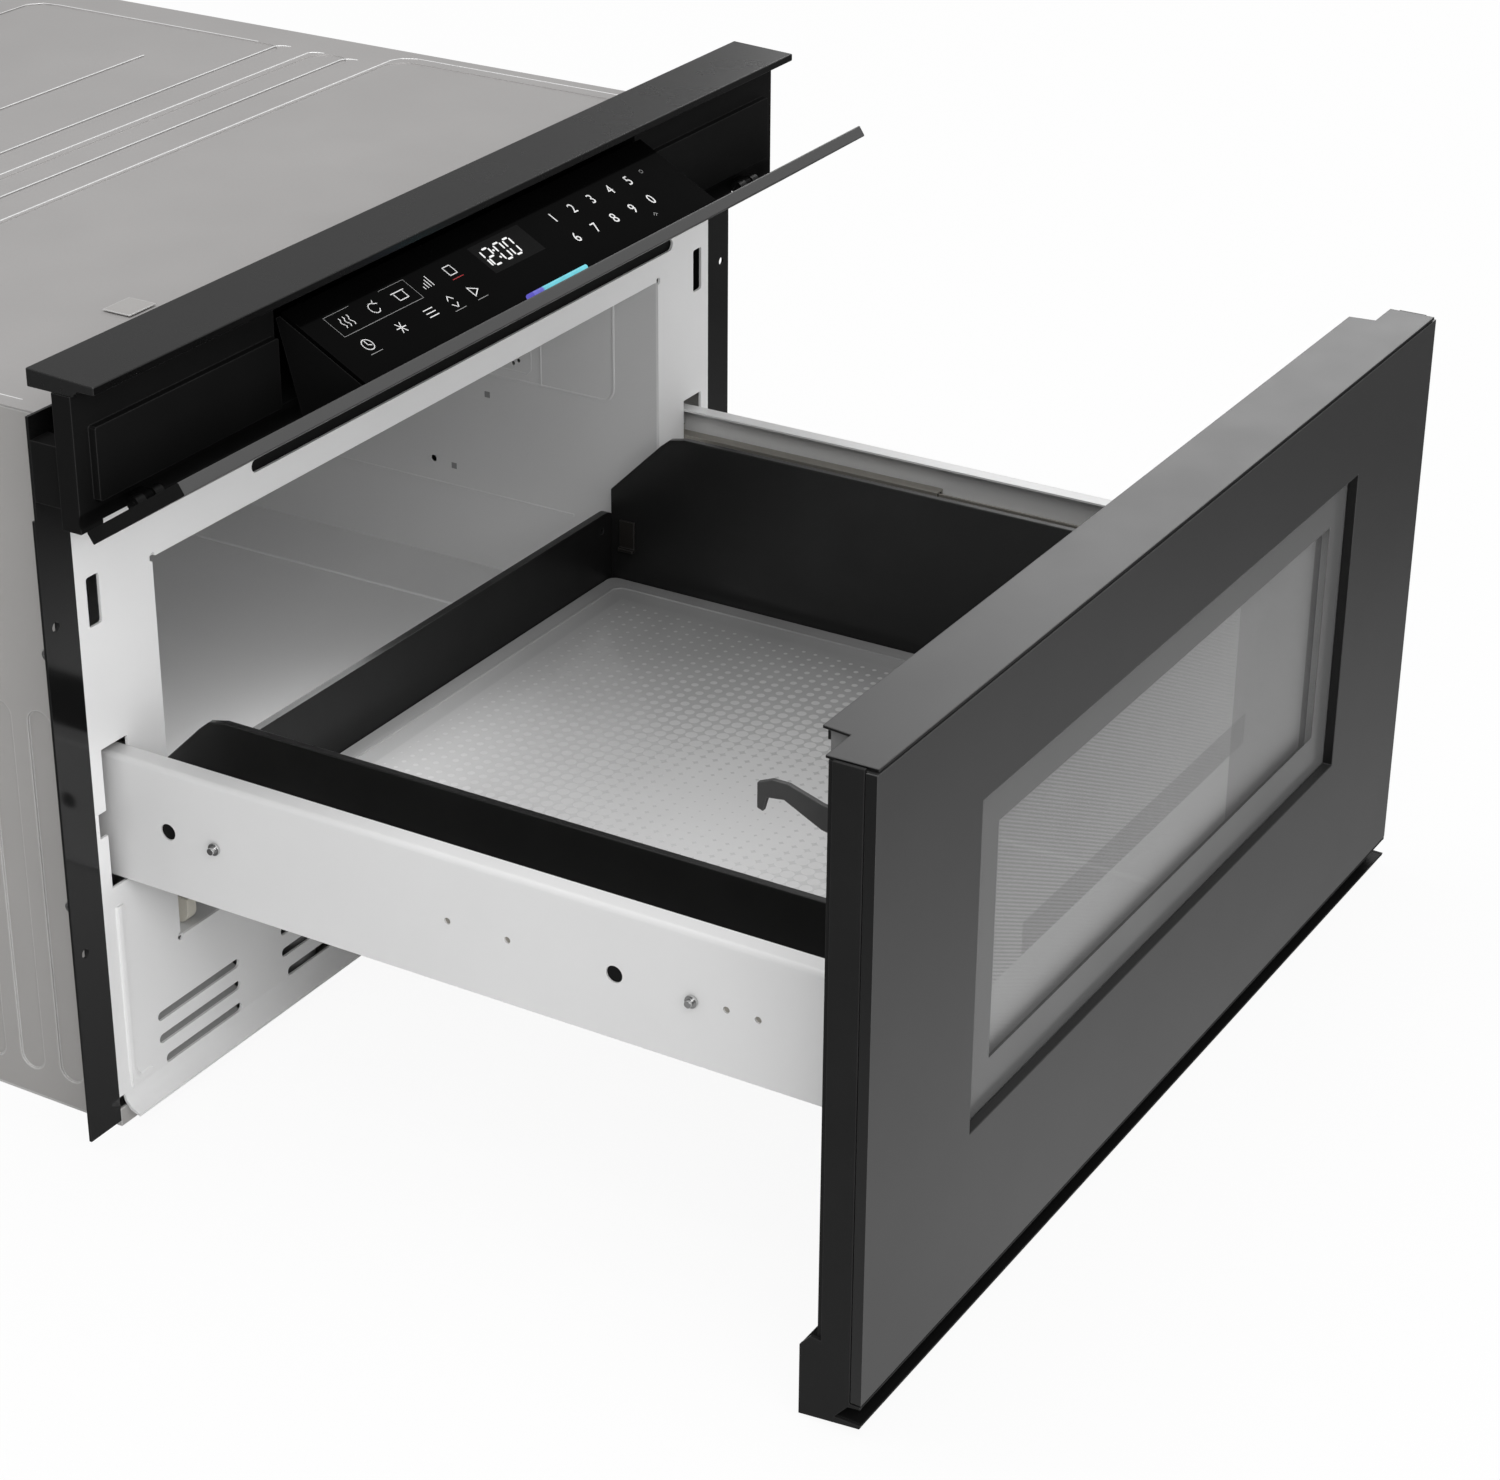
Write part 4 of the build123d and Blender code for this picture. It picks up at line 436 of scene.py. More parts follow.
NODE_LOOK = {
    "top_sheet": ("top_panel",),
    "galvanised": ("base_pan", "side_panel_left", "side_panel_right", "rear_panel",
                   "slide_brackets", "cavity_lamp", "waveguide"),
    "white": ("front_frame",),
    "cavity": ("cavity_roof", "cavity_floor", "cavity_walls", "cavity_back", "antenna_well"),
    "flange": ("mounting_flanges",),
    "visor": ("visor",),
    "housing": ("control_housing", "flap_wedge"),
    "flap": ("flap_fascia",),
    "pin": ("flap_hinge_pins",),
    "control_glass": ("control_glass",),
    "light_bar": ("flap_light_bar",),
    "door": ("door_outer_panel",),
    "window": ("door_window_glass",),
    "dark_plastic": ("door_inner_cover", "latch_boards"),
    "window_ring": ("door_window_frame",),
    "clip": ("tray_clips",),
    "screen": ("door_core",),
    "door_top": ("door_top_cap",),
    "end_cap": ("door_end_cap_left", "door_end_cap_right"),
    "foot": ("door_bottom_trim",),
    "drawer": ("drawer_side_left", "drawer_side_right", "drawer_back"),
    "tray": ("glass_tray",),
    "nylon": ("drawer_glides", "drive_rack", "drive_pinion"),
    "slide": ("slide_cabinet_members", "slide_middle_left", "slide_middle_right", "slide_drawer_members"),
    "cover": ("rail_cover_left", "rail_cover_right"),
    "screw": ("rail_screws",),
    "motor": ("drive_motor", "antenna_motor"),
    "hook": ("latch_hook_left", "latch_hook_right"),
    "cover_board": ("antenna_cover",),
    "aluminium": ("rotating_antenna", "magnetron", "high_voltage_capacitor"),
    "iron": ("high_voltage_transformer",),
    "board": ("control_board",),
    "fan": ("fan_housing", "fan_wheel"),
    "rubber": ("cord_bushing",),
}
# Rounding of a node's outer edges in millimetres; the others get PLAIN_EDGE.
PLAIN_EDGE = 0.25
EDGE_WIDTH = {
    "visor": 0.7, "door_outer_panel": 0.6, "door_top_cap": 0.4, "glass_tray": 0.6,
    "control_housing": 0.45, "flap_fascia": 0.4, "drawer_side_left": 0.7, "drawer_side_right": 0.7,
    "drawer_back": 0.7, "rail_cover_left": 0.3, "rail_cover_right": 0.3, "door_end_cap_left": 0.5,
    "door_end_cap_right": 0.5, "door_bottom_trim": 0.5, "top_panel": 0.35, "side_panel_left": 0.45,
    "side_panel_right": 0.45, "front_frame": 0.3, "latch_hook_left": 0.4, "latch_hook_right": 0.4,
}


def smoothing_group():
    """Joins split corners and shades smooth where faces meet at less than 35 degrees."""
    group = bpy.data.node_groups.new("joined_smooth", "GeometryNodeTree")
    group.interface.new_socket("Geometry", in_out="INPUT", socket_type="NodeSocketGeometry")
    group.interface.new_socket("Geometry", in_out="OUTPUT", socket_type="NodeSocketGeometry")
    new = group.nodes.new
    start, end = new("NodeGroupInput"), new("NodeGroupOutput")
    merge = new("GeometryNodeMergeByDistance")
    merge.inputs["Distance"].default_value = 0.00001
    faces = new("GeometryNodeSetShadeSmooth")
    edges = new("GeometryNodeSetShadeSmooth")
    edges.domain = "EDGE"
    edges.inputs["Shade Smooth"].default_value = False
    angle = new("GeometryNodeInputMeshEdgeAngle")
    steep = new("FunctionNodeCompare")
    steep.operation = "GREATER_THAN"
    steep.inputs[1].default_value = math.radians(35)
    link = group.links.new
    link(start.outputs[0], merge.inputs["Geometry"])
    link(merge.outputs["Geometry"], faces.inputs["Geometry"])
    link(faces.outputs["Geometry"], edges.inputs["Geometry"])
    link(angle.outputs["Unsigned Angle"], steep.inputs[0])
    link(steep.outputs[0], edges.inputs["Selection"])
    link(edges.outputs["Geometry"], end.inputs[0])
    return group


SMOOTH = smoothing_group()


def soften(obj, width):
    """Joined corners, flat faces merged, then narrow rounded edges."""
    obj.modifiers.new("joined", "NODES").node_group = SMOOTH
    flat = obj.modifiers.new("flat", "DECIMATE")
    flat.decimate_type = "DISSOLVE"
    flat.angle_limit = math.radians(0.5)
    bevel = obj.modifiers.new("edges", "BEVEL")
    bevel.width = width * MM
    bevel.segments = 2
    bevel.limit_method = "ANGLE"
    bevel.angle_limit = math.radians(38)
    bevel.harden_normals = True


for look, names in NODE_LOOK.items():
    for node_name in names:
        node = nodes[node_name]
        node.data.materials.clear()
        node.data.materials.append(MATERIALS[look])
        soften(node, EDGE_WIDTH.get(node_name, PLAIN_EDGE))


# ---------------------------------------------------------------- mesh helpers
def piece(name, mesh_builder, look, body):
    """A new mesh object from a bmesh builder, finished and set riding on a body."""
    data = bpy.data.meshes.new(name)
    bm = bmesh.new()
    mesh_builder(bm)
    bmesh.ops.recalc_face_normals(bm, faces=bm.faces)
    bm.to_mesh(data)
    bm.free()
    obj = bpy.data.objects.new(name, data)
    bpy.context.scene.collection.objects.link(obj)
    data.materials.append(MATERIALS[look])
    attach(obj, body)
    return obj


def add_prism(bm, outline, lift, place):
    """Closed prism: outline points (a, b) placed by place(a, b, height) from 0 to lift."""
    low = [bm.verts.new(place(a, b, 0.0)) for a, b in outline]
    high = [bm.verts.new(place(a, b, lift)) for a, b in outline]
    count = len(outline)
    bm.faces.new(low[::-1])
    bm.faces.new(high)
    for index in range(count):
        following = (index + 1) % count
        bm.faces.new((low[index], low[following], high[following], high[index]))


def stroke_outline(start, end, width):
    """Rectangle with blunt ends round a line from start to end."""
    dx, dy = end[0] - start[0], end[1] - start[1]
    length = math.hypot(dx, dy) or 1.0
    ux, uy = dx / length, dy / length
    h = width / 2
    corners = ((start, -1, -1), (end, 1, -1), (end, 1, 1), (start, -1, 1))
    return [(p[0] + ux * h * along - uy * h * side, p[1] + uy * h * along + ux * h * side)
            for p, along, side in corners]


def circle_points(cx, cy, radius, count=20, start=0.0, sweep=360.0):
    """Points of a circle, or of an arc with both its ends."""
    steps = count if sweep >= 360 else count + 1
    return [(cx + radius * math.cos(math.radians(start + sweep * i / count)),
             cy + radius * math.sin(math.radians(start + sweep * i / count))) for i in range(steps)]


def lathe(bm, profile, centre, axis, count=24):
    """Turned shape: profile of (radius, height) along axis from centre, in millimetres."""
    turn = Vector((0, 0, 1)).rotation_difference(Vector(axis)).to_matrix()
    rings = []
    for radius, height in profile:
        if radius == 0:
            rings.append([bm.verts.new(centre + turn @ Vector((0, 0, height)) * MM)])
            continue
        ring = []
        for index in range(count):
            a = 2 * math.pi * index / count
            spot = Vector((radius * math.cos(a), radius * math.sin(a), height))
            ring.append(bm.verts.new(centre + turn @ spot * MM))
        rings.append(ring)
    for low, high in zip(rings, rings[1:]):
        for index in range(count):
            following = (index + 1) % count
            if len(low) == 1:
                bm.faces.new((low[0], high[index], high[following]))
            elif len(high) == 1:
                bm.faces.new((low[index], low[following], high[0]))
            else:
                bm.faces.new((low[index], low[following], high[following], high[index]))
    if len(rings[0]) > 1:
        bm.faces.new(rings[0][::-1])
    if len(rings[-1]) > 1:
        bm.faces.new(rings[-1])


def screw_head(bm, centre, axis, radius):
    """Domed head with a washer face and a round driver recess."""
    r = radius
    profile = [(r, 0.0), (r, 0.35 * r), (0.82 * r, 0.55 * r), (0.5 * r, 0.66 * r), (0.38 * r, 0.66 * r),
               (0.3 * r, 0.25 * r), (0, 0.2 * r)]
    lathe(bm, profile, centre, axis, 20)


def box_mesh(bm, x0, x1, y0, y1, z0, z1):
    """Box between two corners given in the drawing's frame."""
    corners = [at(x, y, z) for x in (x0, x1) for y in (y0, y1) for z in (z0, z1)]
    v = [bm.verts.new(c) for c in corners]
    for quad in ((0, 1, 3, 2), (4, 6, 7, 5), (0, 4, 5, 1), (2, 3, 7, 6), (0, 2, 6, 4), (1, 5, 7, 3)):
        bm.faces.new([v[i] for i in quad])


def tube_path(bm, points, radius, flat=1.0, sides=8, normal=(1, 0, 0)):
    """Rounded ridge along world points that lie on a wall; flat squashes it along the normal."""
    normal = Vector(normal)
    rings = []
    count = len(points)
    for index, point in enumerate(points):
        before, after = points[max(0, index - 1)], points[min(count - 1, index + 1)]
        direction = (after - before).normalized()
        side = direction.cross(normal).normalized()
        rings.append([bm.verts.new(point + side * radius * MM * math.cos(2 * math.pi * k / sides)
                                   + normal * radius * MM * flat * math.sin(2 * math.pi * k / sides))
                      for k in range(sides)])
    for low, high in zip(rings, rings[1:]):
        for k in range(sides):
            bm.faces.new((low[k], low[(k + 1) % sides], high[(k + 1) % sides], high[k]))
    bm.faces.new(rings[0][::-1])
    bm.faces.new(rings[-1])


# ---------------------------------------------------------------- control glass marks
GLASS_SLOPE = math.radians(28.49)
GLASS_FOOT = (-79.78, 370.3)


def on_glass(x, s, lift=0.0):
    """Point on the open control glass: x across, s up its slope from the lower edge."""
    height = lift + 0.02
    y = GLASS_FOOT[0] + s * math.cos(GLASS_SLOPE) - height * math.sin(GLASS_SLOPE)
    z = GLASS_FOOT[1] + s * math.sin(GLASS_SLOPE) + height * math.cos(GLASS_SLOPE)
    return at(x, y, z)


def marks(name, lines, width, look, closed=()):
    """Printed marks: polylines and closed outlines on the glass."""
    def build(bm):
        for line in lines:
            for start, end in zip(line, line[1:]):
                add_prism(bm, stroke_outline(start, end, width), 0.03, on_glass)
        for outline in closed:
            add_prism(bm, outline, 0.03, on_glass)
    return piece(name, build, look, "flap")


def number(text, x, s, size):
    """Plain numeral laid on the glass."""
    curve = bpy.data.curves.new("numeral_" + text, "FONT")
    curve.body = text
    curve.size = size * MM
    curve.extrude = 0.00002
    curve.align_x = "CENTER"
    curve.align_y = "CENTER"
    holder = bpy.data.objects.new("numeral_" + text, curve)
    bpy.context.scene.collection.objects.link(holder)
    bpy.context.view_layer.update()
    data = bpy.data.meshes.new_from_object(holder)
    bpy.data.objects.remove(holder)
    obj = bpy.data.objects.new("numeral_" + text, data)
    bpy.context.scene.collection.objects.link(obj)
    obj.matrix_world = Matrix.Translation(on_glass(x, s, 0.03)) @ Matrix.Rotation(GLASS_SLOPE, 4, "X")
    data.materials.clear()
    data.materials.append(MATERIALS["print"])
    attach(obj, "flap")


KEY_PITCH, KEY_X, KEY_SIZE = 17.85, 46.6, 9.2
for row_digits, row_height in (("12345", 34.7), ("67890", 18.5)):
    for index, digit in enumerate(row_digits):
        number(digit, KEY_X + index * KEY_PITCH, row_height, KEY_SIZE)


def seven_segment(digit, x, s, width, height):
    """Lit bars of one clock digit as closed outlines."""
    lit = {"0": "abcdef", "1": "bc", "2": "abged"}[digit]
    w, h, gap, k, slant = width / 2, height / 2, 0.5, 0.575, 0.10
    bars = {"a": ((-w, h), (w, h)), "b": ((w, h), (w, 0)), "c": ((w, 0), (w, -h)), "d": ((-w, -h), (w, -h)),
            "e": ((-w, 0), (-w, -h)), "f": ((-w, h), (-w, 0)), "g": ((-w, 0), (w, 0))}
    shapes = []
    for bar in lit:
        (x0, y0), (x1, y1) = bars[bar]
        length = math.hypot(x1 - x0, y1 - y0)
        ux, uy = (x1 - x0) / length, (y1 - y0) / length
        p, q = (x0 + ux * gap, y0 + uy * gap), (x1 - ux * gap, y1 - uy * gap)
        outline = [p, (p[0] + ux * k - uy * k, p[1] + uy * k + ux * k),
                   (q[0] - ux * k - uy * k, q[1] - uy * k + ux * k), q,
                   (q[0] - ux * k + uy * k, q[1] - uy * k - ux * k),
                   (p[0] + ux * k + uy * k, p[1] + uy * k - ux * k)]
        shapes.append([(x + a + slant * b, s + b) for a, b in outline])
    return shapes


DISPLAY = [(-23.0, 21.0), (21.0, 21.0), (21.0, 41.0), (-23.0, 41.0)]
MATERIALS["display_pane"] = glossy_glass("display_pane", grey(20), 0.12, specular=0.04)
piece("display_pane", lambda bm: add_prism(bm, DISPLAY, 0.01, on_glass), "display_pane", "flap")
clock = []
for digit, x in (("1", -21.5), ("2", -14.2), ("0", -4.4), ("0", 4.0)):
    clock += seven_segment(digit, x, 31.0, 5.4, 11.5)
clock += [circle_points(-9.6, 28.4, 0.75, 10), circle_points(-9.2, 33.6, 0.75, 10)]
marks("clock_digits", [], 0.3, "digits", clock)


def arrow(x, s, size, up):
    """Open chevron that points up or down the glass."""
    tip = size if up else -size
    return [(x - size * 0.6, s), (x, s + tip * 0.7), (x + size * 0.6, s)]


def icon_lines():
    """Simple symbols in the places of the touch keys."""
    ring = circle_points(-134.0, 18.2, 3.4, 18) + [(-130.6, 18.2)]
    lines = [ring, [(-134.0, 20.6), (-134.0, 18.2), (-132.2, 17.2)]]
    for step in range(3):
        angle = math.radians(60 * step)
        dx, dy = 3.4 * math.cos(angle), 3.4 * math.sin(angle)
        lines.append([(-107.0 - dx, 18.2 - dy), (-107.0 + dx, 18.2 + dy)])
    for step in range(3):
        lines.append([(-86.0, 15.8 + step * 2.4), (-79.0, 15.8 + step * 2.4)])
    lines += [arrow(-64.5, 19.6, 3.6, True), arrow(-64.5, 16.6, 3.6, False)]
    lines.append([(-48.6, 15.0), (-48.6, 21.4), (-43.0, 18.2), (-48.6, 15.0)])
    for step in range(3):
        wave = [(-134.0 + step * 3.2 + 0.7 * math.sin(t * 1.25), 31.4 + t * 0.9) for t in range(8)]
        lines.append(wave)
    lines.append(circle_points(-109.0, 34.4, 3.2, 14, 60, 270))
    lines.append([(-106.0, 38.6), (-107.4, 36.9), (-104.9, 36.2)])
    lines.append([(-91.0, 36.0), (-91.0, 31.6), (-84.0, 31.6), (-84.0, 36.0)])
    lines.append([(-92.4, 36.9), (-82.6, 36.9)])
    for step in range(4):
        lines.append([(-70.5 + step * 2.3, 31.2), (-70.5 + step * 2.3, 32.6 + step * 1.7)])
    lines.append([(-49.0, 31.6), (-49.0, 37.4), (-43.2, 37.4), (-43.2, 31.6), (-49.0, 31.6)])
    return lines


marks("key_symbols", icon_lines(), 0.55, "print")
marks("key_group_frame", [[(-121.0, 41.6), (-141.0, 41.6), (-141.0, 27.4), (-77.0, 27.4), (-77.0, 41.6),
                           (-97.0, 41.6)]], 0.22, "print_dim")
marks("stop_underline", [[(-50.4, 28.8), (-41.6, 28.8)]], 0.5, "print_red")
marks("key_rules", [[(x0, 12.4), (x1, 12.4)]
                    for x0, x1 in ((-138.4, -129.4), (-69.0, -60.0), (-50.0, -41.4))], 0.3, "print_dim")
marks("small_marks", [circle_points(132.8, 36.5, 1.2, 10) + [(134.0, 36.5)],
                      [(108.0, 9.4), (109.6, 10.8), (111.4, 9.4)], [(109.2, 8.6), (110.4, 9.6)]],
      0.3, "print_dim")


# ---------------------------------------------------------------- louvre scoops, screws, tabs, ridges
def scoop(bm, x0, x1, z):
    """Pressed scoop behind a louvre: a strip that curves up and in from the slot's lower edge."""
    start, reach, rise, sheet, steps = 1.6, 6.0, 7.0, 0.8, 6
    outer, inner = [], []
    for index in range(steps + 1):
        a = math.radians(90 * index / steps)
        y = start + reach * math.sin(a)
        height = z - 0.4 + rise * (1 - math.cos(a))
        outer.append((y, height))
        inner.append((y + sheet * math.cos(a) * 0.4, height - sheet))

    def place(a, b, lift):
        return at(x0 + lift, a, b)

    add_prism(bm, outer + inner[::-1], x1 - x0, place)


LOUVRE_X = (182.0, 247.0)
LOUVRE_FOOT, LOUVRE_PITCH = 17.0, 13.0


def louvre_scoops(bm):
    """Three louvres on each side; the lowest is a little shorter, clear of the frame's corner."""
    near, far = LOUVRE_X
    for side in (-1, 1):
        for row in range(3):
            inset = 4.0 if row == 0 else 0.0
            x0, x1 = sorted((side * near, side * (far - inset)))
            scoop(bm, x0 - 0.5, x1 + 0.5, LOUVRE_FOOT + row * LOUVRE_PITCH)


piece("louvre_scoops", louvre_scoops, "scoop", "cabinet")


def flange_screws(bm):
    for side in (-1, 1):
        screw_head(bm, at(side * 291.0, 0.0, 367.7), FRONT, 3.0)


piece("flange_bracket_screws", flange_screws, "dark_screw", "cabinet")


def case_screws(bm):
    for side in (-1, 1):
        for y, z in ((20.0, 255.5), (20.0, 120.0), (533.0, 255.5), (533.0, 120.0), (533.0, 330.0)):
            screw_head(bm, at(side * CASE_SIDE, y, z), (side, 0, 0), 3.4)
    for x in (-240.0, -80.0, 80.0, 240.0):
        screw_head(bm, at(x, 538.0, CASE_TOP), UP, 3.2)
        for z in (366.0, 12.0):
            screw_head(bm, at(x, CASE_REAR, z), BACK, 3.4)


piece("case_screws", case_screws, "screw", "cabinet")


def top_tab(bm):
    box_mesh(bm, -161.0, -141.0, 58.4, 75.4, CASE_TOP, 378.6)


tab = piece("top_tab", top_tab, "galvanised", "cabinet")
soften(tab, 0.2)


def pressed_lines(bm):
    """Pressed lines of the top sheet, with a short hook forward at each end, in a pale colour that paints the
    highlight along the bead edges.
    """
    def top(x, y):
        return at(x, y, CASE_TOP + 0.1)

    for y, reach_x in ((285.0, 247.0), (259.5, 246.0), (234.0, 245.0)):
        hook = [top(reach_x + 5.0 * math.sin(math.radians(a)), y - 9.0 * (1 - math.cos(math.radians(a))))
                for a in range(0, 91, 15)]
        other = [Vector((-p.x, p.y, p.z)) for p in hook[::-1]]
        tube_path(bm, other + hook, 0.55, 0.45, 6, UP)
    for y, reach_x in ((208.0, 260.0), (340.0, 192.0)):
        tube_path(bm, [top(-reach_x, y), top(reach_x, y)], 0.55, 0.45, 6, UP)
    for side in (-1, 1):
        tube_path(bm, [top(side * 260.0, 208.0), top(side * 266.0, 205.0), top(side * 270.5, 196.0),
                       top(side * 271.0, 30.0)], 0.4, 0.45, 6, UP)
        tube_path(bm, [top(side * 251.0, 300.0), top(side * 251.0, 455.0), top(side * 249.0, 467.0),
                       top(side * 241.0, 474.0), top(side * 200.0, 474.5)], 0.4, 0.45, 6, UP)


piece("top_pressed_lines", pressed_lines, "highlight", "cabinet")


def corner_ridges(bm):
    """Soft L-shaped pressings at the lower corners of the white frame."""
    for side in (-1, 1):
        x = side * 268.6
        line = [at(x, 0.0, z) for z in (121.0, 118.0, 60.0, 28.0)]
        line += [at(x - side * 1.6, 0.0, 22.5), at(x - side * 5.0, 0.0, 20.0), at(x - side * 13.0, 0.0, 20.0)]
        tube_path(bm, line, 2.9, 0.42, 12, FRONT)


piece("corner_ridges", corner_ridges, "white", "cabinet")


def window_border(bm):
    """Grey border printed on the front of the window glass."""
    y0, y1 = DOOR_FACE + 5.38, DOOR_FACE + 5.48
    left, right, low, high = -181.4, 187.6, 127.8, 248.2
    half, bottom, top = 207.6, 104.4, 270.9
    box_mesh(bm, -half, half, y0, y1, high, top)
    box_mesh(bm, -half, half, y0, y1, bottom, low)
    box_mesh(bm, -half, left, y0, y1, low, high)
    box_mesh(bm, right, half, y0, y1, low, high)


piece("window_border", window_border, "border", "drawer")


def vent_slot_shade(bm):
    """Black sheet behind the long vent slot: painted shade seen through the slot."""
    box_mesh(bm, -158.0, 252.0, 2.4, 3.0, 301.0, 313.5)


piece("vent_slot_shade", vent_slot_shade, "housing", "cabinet")


def hole_plugs(bm):
    """Grey plugs in the square holes of the cavity walls."""
    half = 1.97
    for side in (-1, 1):
        x0, x1 = sorted((side * 225.5, side * 226.1))
        for y, z in ((121.0, 195.5), (147.0, 144.0)):
            box_mesh(bm, x0, x1, y - half, y + half, z - half, z + half)


piece("wall_hole_plugs", hole_plugs, "plug", "cabinet")


def hole_shades(bm):
    """Dark faces seen through the round holes of the rail covers."""
    behind_cover = 262.95
    for side in (-1, 1):
        for along in (402.2, 150.3):
            centre = at(side * behind_cover, DOOR_FACE + along, 168.0)
            lathe(bm, [(4.2, 0.0), (4.2, 0.25)], centre, (side, 0, 0))


piece("cover_hole_shades", hole_shades, "housing", "drawer")


def wall_ridges(bm):
    """Pressed lines on the cavity walls round the lamp and the guide fields."""
    for side in (-1, 1):
        def wall(y, z, x=side * CAVITY_SIDE):
            return at(x, y, z)

        corner = [wall(31.0 + 9.0 * (1 - math.cos(math.radians(a))), 218.0 - 9.0 * math.sin(math.radians(a)))
                  for a in range(0, 91, 15)]
        tube_path(bm, [wall(31.0, 284.0)] + corner + [wall(190.0, 209.0)], 1.0, 0.5)
        tube_path(bm, [wall(82.0, 209.0), wall(82.0, 284.0)], 0.7, 0.5)
        tube_path(bm, [wall(89.0, 284.0), wall(89.0, 217.5), wall(92.0, 214.5), wall(150.0, 214.5)], 0.6, 0.5)
        tube_path(bm, [wall(60.0, 131.0), wall(420.0, 131.0)], 0.9, 0.5)


piece("cavity_wall_ridges", wall_ridges, "cavity", "cabinet")


for side_name, sign in (("left", -1), ("right", 1)):
    def one_stop(bm, sign=sign):
        x0, x1 = sorted((sign * 255.0, sign * 259.6))
        for z in (151.6, 181.6):
            box_mesh(bm, x0, x1, -167.8, -160.0, z, z + 2.8)

    stop = piece("rail_stop_" + side_name, one_stop, "dark_plastic", "slide_middle_" + side_name)
    soften(stop, 0.3)


# ---------------------------------------------------------------- floor, light and camera
def ray_kinds(tree):
    """Light path outputs: 1 for rays the camera sees directly or through glass, and 1 for gloss."""
    path = tree.nodes.new("ShaderNodeLightPath")
    clear = tree.nodes.new("ShaderNodeMath")
    clear.operation = "MAXIMUM"
    tree.links.new(path.outputs["Is Camera Ray"], clear.inputs[0])
    tree.links.new(path.outputs["Is Transmission Ray"], clear.inputs[1])
    return clear.outputs[0], path.outputs["Is Glossy Ray"]


def weighted(tree, first, first_weight, second, second_weight):
    """first times its weight plus second times its weight; a weight may be a number or a socket."""
    terms = []
    for value, weight in ((first, first_weight), (second, second_weight)):
        node = tree.nodes.new("ShaderNodeMath")
        node.operation = "MULTIPLY"
        tree.links.new(value, node.inputs[0])
        if isinstance(weight, float):
            node.inputs[1].default_value = weight
        else:
            tree.links.new(weight, node.inputs[1])
        terms.append(node.outputs[0])
    total = tree.nodes.new("ShaderNodeMath")
    tree.links.new(terms[0], total.inputs[0])
    tree.links.new(terms[1], total.inputs[1])
    return total.outputs[0]


FLOOR_Z = -SEAT_Z * MM - 0.0004
FLOOR_REACH = 9.0
FLOOR_PAINT = (0.86, 0.86, 0.86, 1.0)
# In reflections the floor is brightest at this spot and fades over a stretched distance from it.
FLOOR_SPOT, FLOOR_STRETCH = (-0.10, -0.45, FLOOR_Z), (0.8, 1.3, 0.0)
FLOOR_FADE, FLOOR_LEVELS = (0.0, 0.8), (0.64, 0.12)


def stage_material():
    """Floor that is white to the camera with a soft shadow, and darkens away from the door in reflections."""
    material = bpy.data.materials.new("studio_floor")
    material.use_nodes = True
    tree = material.node_tree
    tree.nodes.clear()
    output = tree.nodes.new("ShaderNodeOutputMaterial")
    mix = tree.nodes.new("ShaderNodeMixShader")
    diffuse = tree.nodes.new("ShaderNodeBsdfDiffuse")
    diffuse.inputs["Color"].default_value = FLOOR_PAINT
    glow_node = tree.nodes.new("ShaderNodeEmission")
    clear, glossy = ray_kinds(tree)
    place = tree.nodes.new("ShaderNodeNewGeometry")
    value = place.outputs["Position"]
    for operation, operand in (("SUBTRACT", FLOOR_SPOT), ("MULTIPLY", FLOOR_STRETCH), ("LENGTH", None)):
        step = tree.nodes.new("ShaderNodeVectorMath")
        step.operation = operation
        tree.links.new(value, step.inputs[0])
        if operand:
            step.inputs[1].default_value = operand
        value = step.outputs[0]
    fade = map_range(tree, step.outputs["Value"], *FLOOR_FADE, *FLOOR_LEVELS)
    tree.links.new(weighted(tree, clear, 1.0, glossy, fade), glow_node.inputs["Strength"])
    tree.links.new(weighted(tree, clear, 0.93, glossy, 1.0), mix.inputs["Fac"])
    tree.links.new(diffuse.outputs[0], mix.inputs[1])
    tree.links.new(glow_node.outputs[0], mix.inputs[2])
    tree.links.new(mix.outputs[0], output.inputs["Surface"])
    return material


floor_data = bpy.data.meshes.new("studio_floor")
floor_data.from_pydata([(x * FLOOR_REACH, y * FLOOR_REACH, FLOOR_Z)
                        for x, y in ((-1, -1), (1, -1), (1, 1), (-1, 1))], [], [(0, 1, 2, 3)])
floor = bpy.data.objects.new("studio_floor", floor_data)
bpy.context.scene.collection.objects.link(floor)
floor_data.materials.append(stage_material())

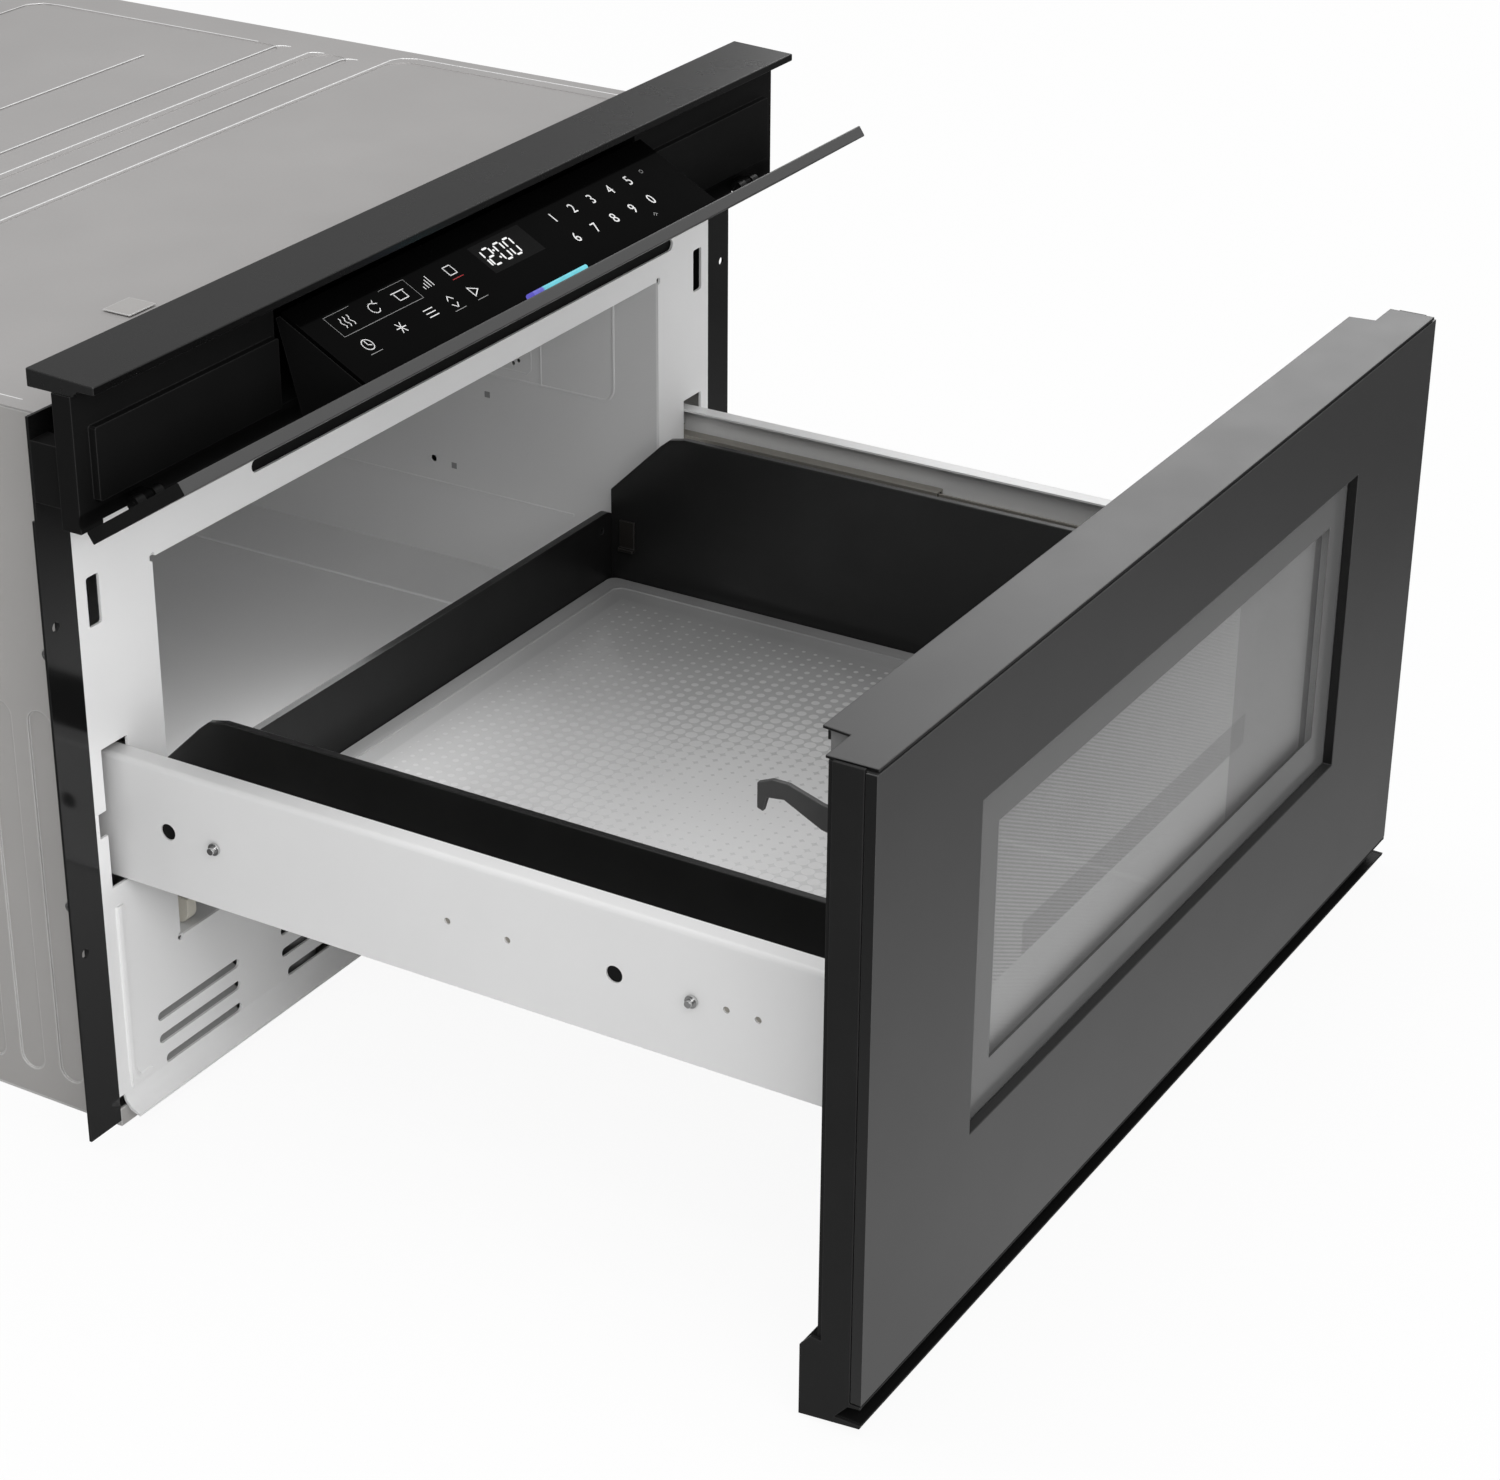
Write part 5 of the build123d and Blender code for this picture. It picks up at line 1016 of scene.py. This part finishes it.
world = bpy.data.worlds.new("studio")
bpy.context.scene.world = world
world.use_nodes = True
tree = world.node_tree
background = tree.nodes["Background"]
background.inputs["Color"].default_value = (1.0, 1.0, 1.0, 1.0)
WORLD_LEVEL = 0.52
GLOSS_LEVEL = 0.30
clear_rays, glossy_rays = ray_kinds(tree)
raised = tree.nodes.new("ShaderNodeMath")
raised.inputs[1].default_value = WORLD_LEVEL
extra = weighted(tree, clear_rays, 1.0 - WORLD_LEVEL, glossy_rays, GLOSS_LEVEL - WORLD_LEVEL)
tree.links.new(extra, raised.inputs[0])
tree.links.new(raised.outputs[0], background.inputs["Strength"])


def lamp(name, place, target, size, power):
    """Area lamp at a world point, aimed at another; size in metres and power in watts."""
    data = bpy.data.lights.new(name, "AREA")
    data.shape = "RECTANGLE"
    data.size, data.size_y = size
    data.energy = power
    obj = bpy.data.objects.new(name, data)
    obj.location = place
    direction = Vector(target) - Vector(place)
    obj.rotation_euler = direction.to_track_quat("-Z", "Y").to_euler()
    bpy.context.scene.collection.objects.link(obj)


lamp("key", (-2.0, -1.6, 2.0), (0.0, -0.1, 0.0), (1.6, 1.6), 24.0)
lamp("front", (-1.0, -3.0, 1.0), (0.0, 0.1, 0.0), (2.0, 1.4), 30.0)
lamp("side", (2.95, 0.40, 1.2), (0.0, -0.1, 0.0), (1.7, 1.1), 13.0)
lamp("overhead", (0.0, 0.3, 2.6), (0.0, 0.0, 0.0), (1.8, 1.8), 27.0)
lamp("cavity", at(-100.0, 55.0, 190.0), at(-100.0, 35.0, 90.0), (0.25, 0.05), 0.18)

camera_data = bpy.data.cameras.new("photo_view")
camera = bpy.data.objects.new("photo_view", camera_data)
CAMERA_PLACE = Vector((-1.3920, -1.0176, 0.7766))
azimuth, elevation = math.radians(-58.49), math.radians(26.982)
back = Vector((math.sin(azimuth) * math.cos(elevation), -math.cos(azimuth) * math.cos(elevation),
               math.sin(elevation)))
right = (-back).cross(Vector(UP)).normalized()
up = right.cross(-back)
camera.matrix_world = Matrix.Translation(CAMERA_PLACE) @ Matrix((right, up, back)).transposed().to_4x4()
camera_data.sensor_fit = "HORIZONTAL"
camera_data.sensor_width = 36.0
camera_data.lens = 84.78
camera_data.shift_x = 0.0367
camera_data.shift_y = -0.0019
camera_data.clip_start = 0.01
bpy.context.scene.collection.objects.link(camera)
bpy.context.scene.camera = camera
bpy.context.scene.view_settings.view_transform = "Standard"
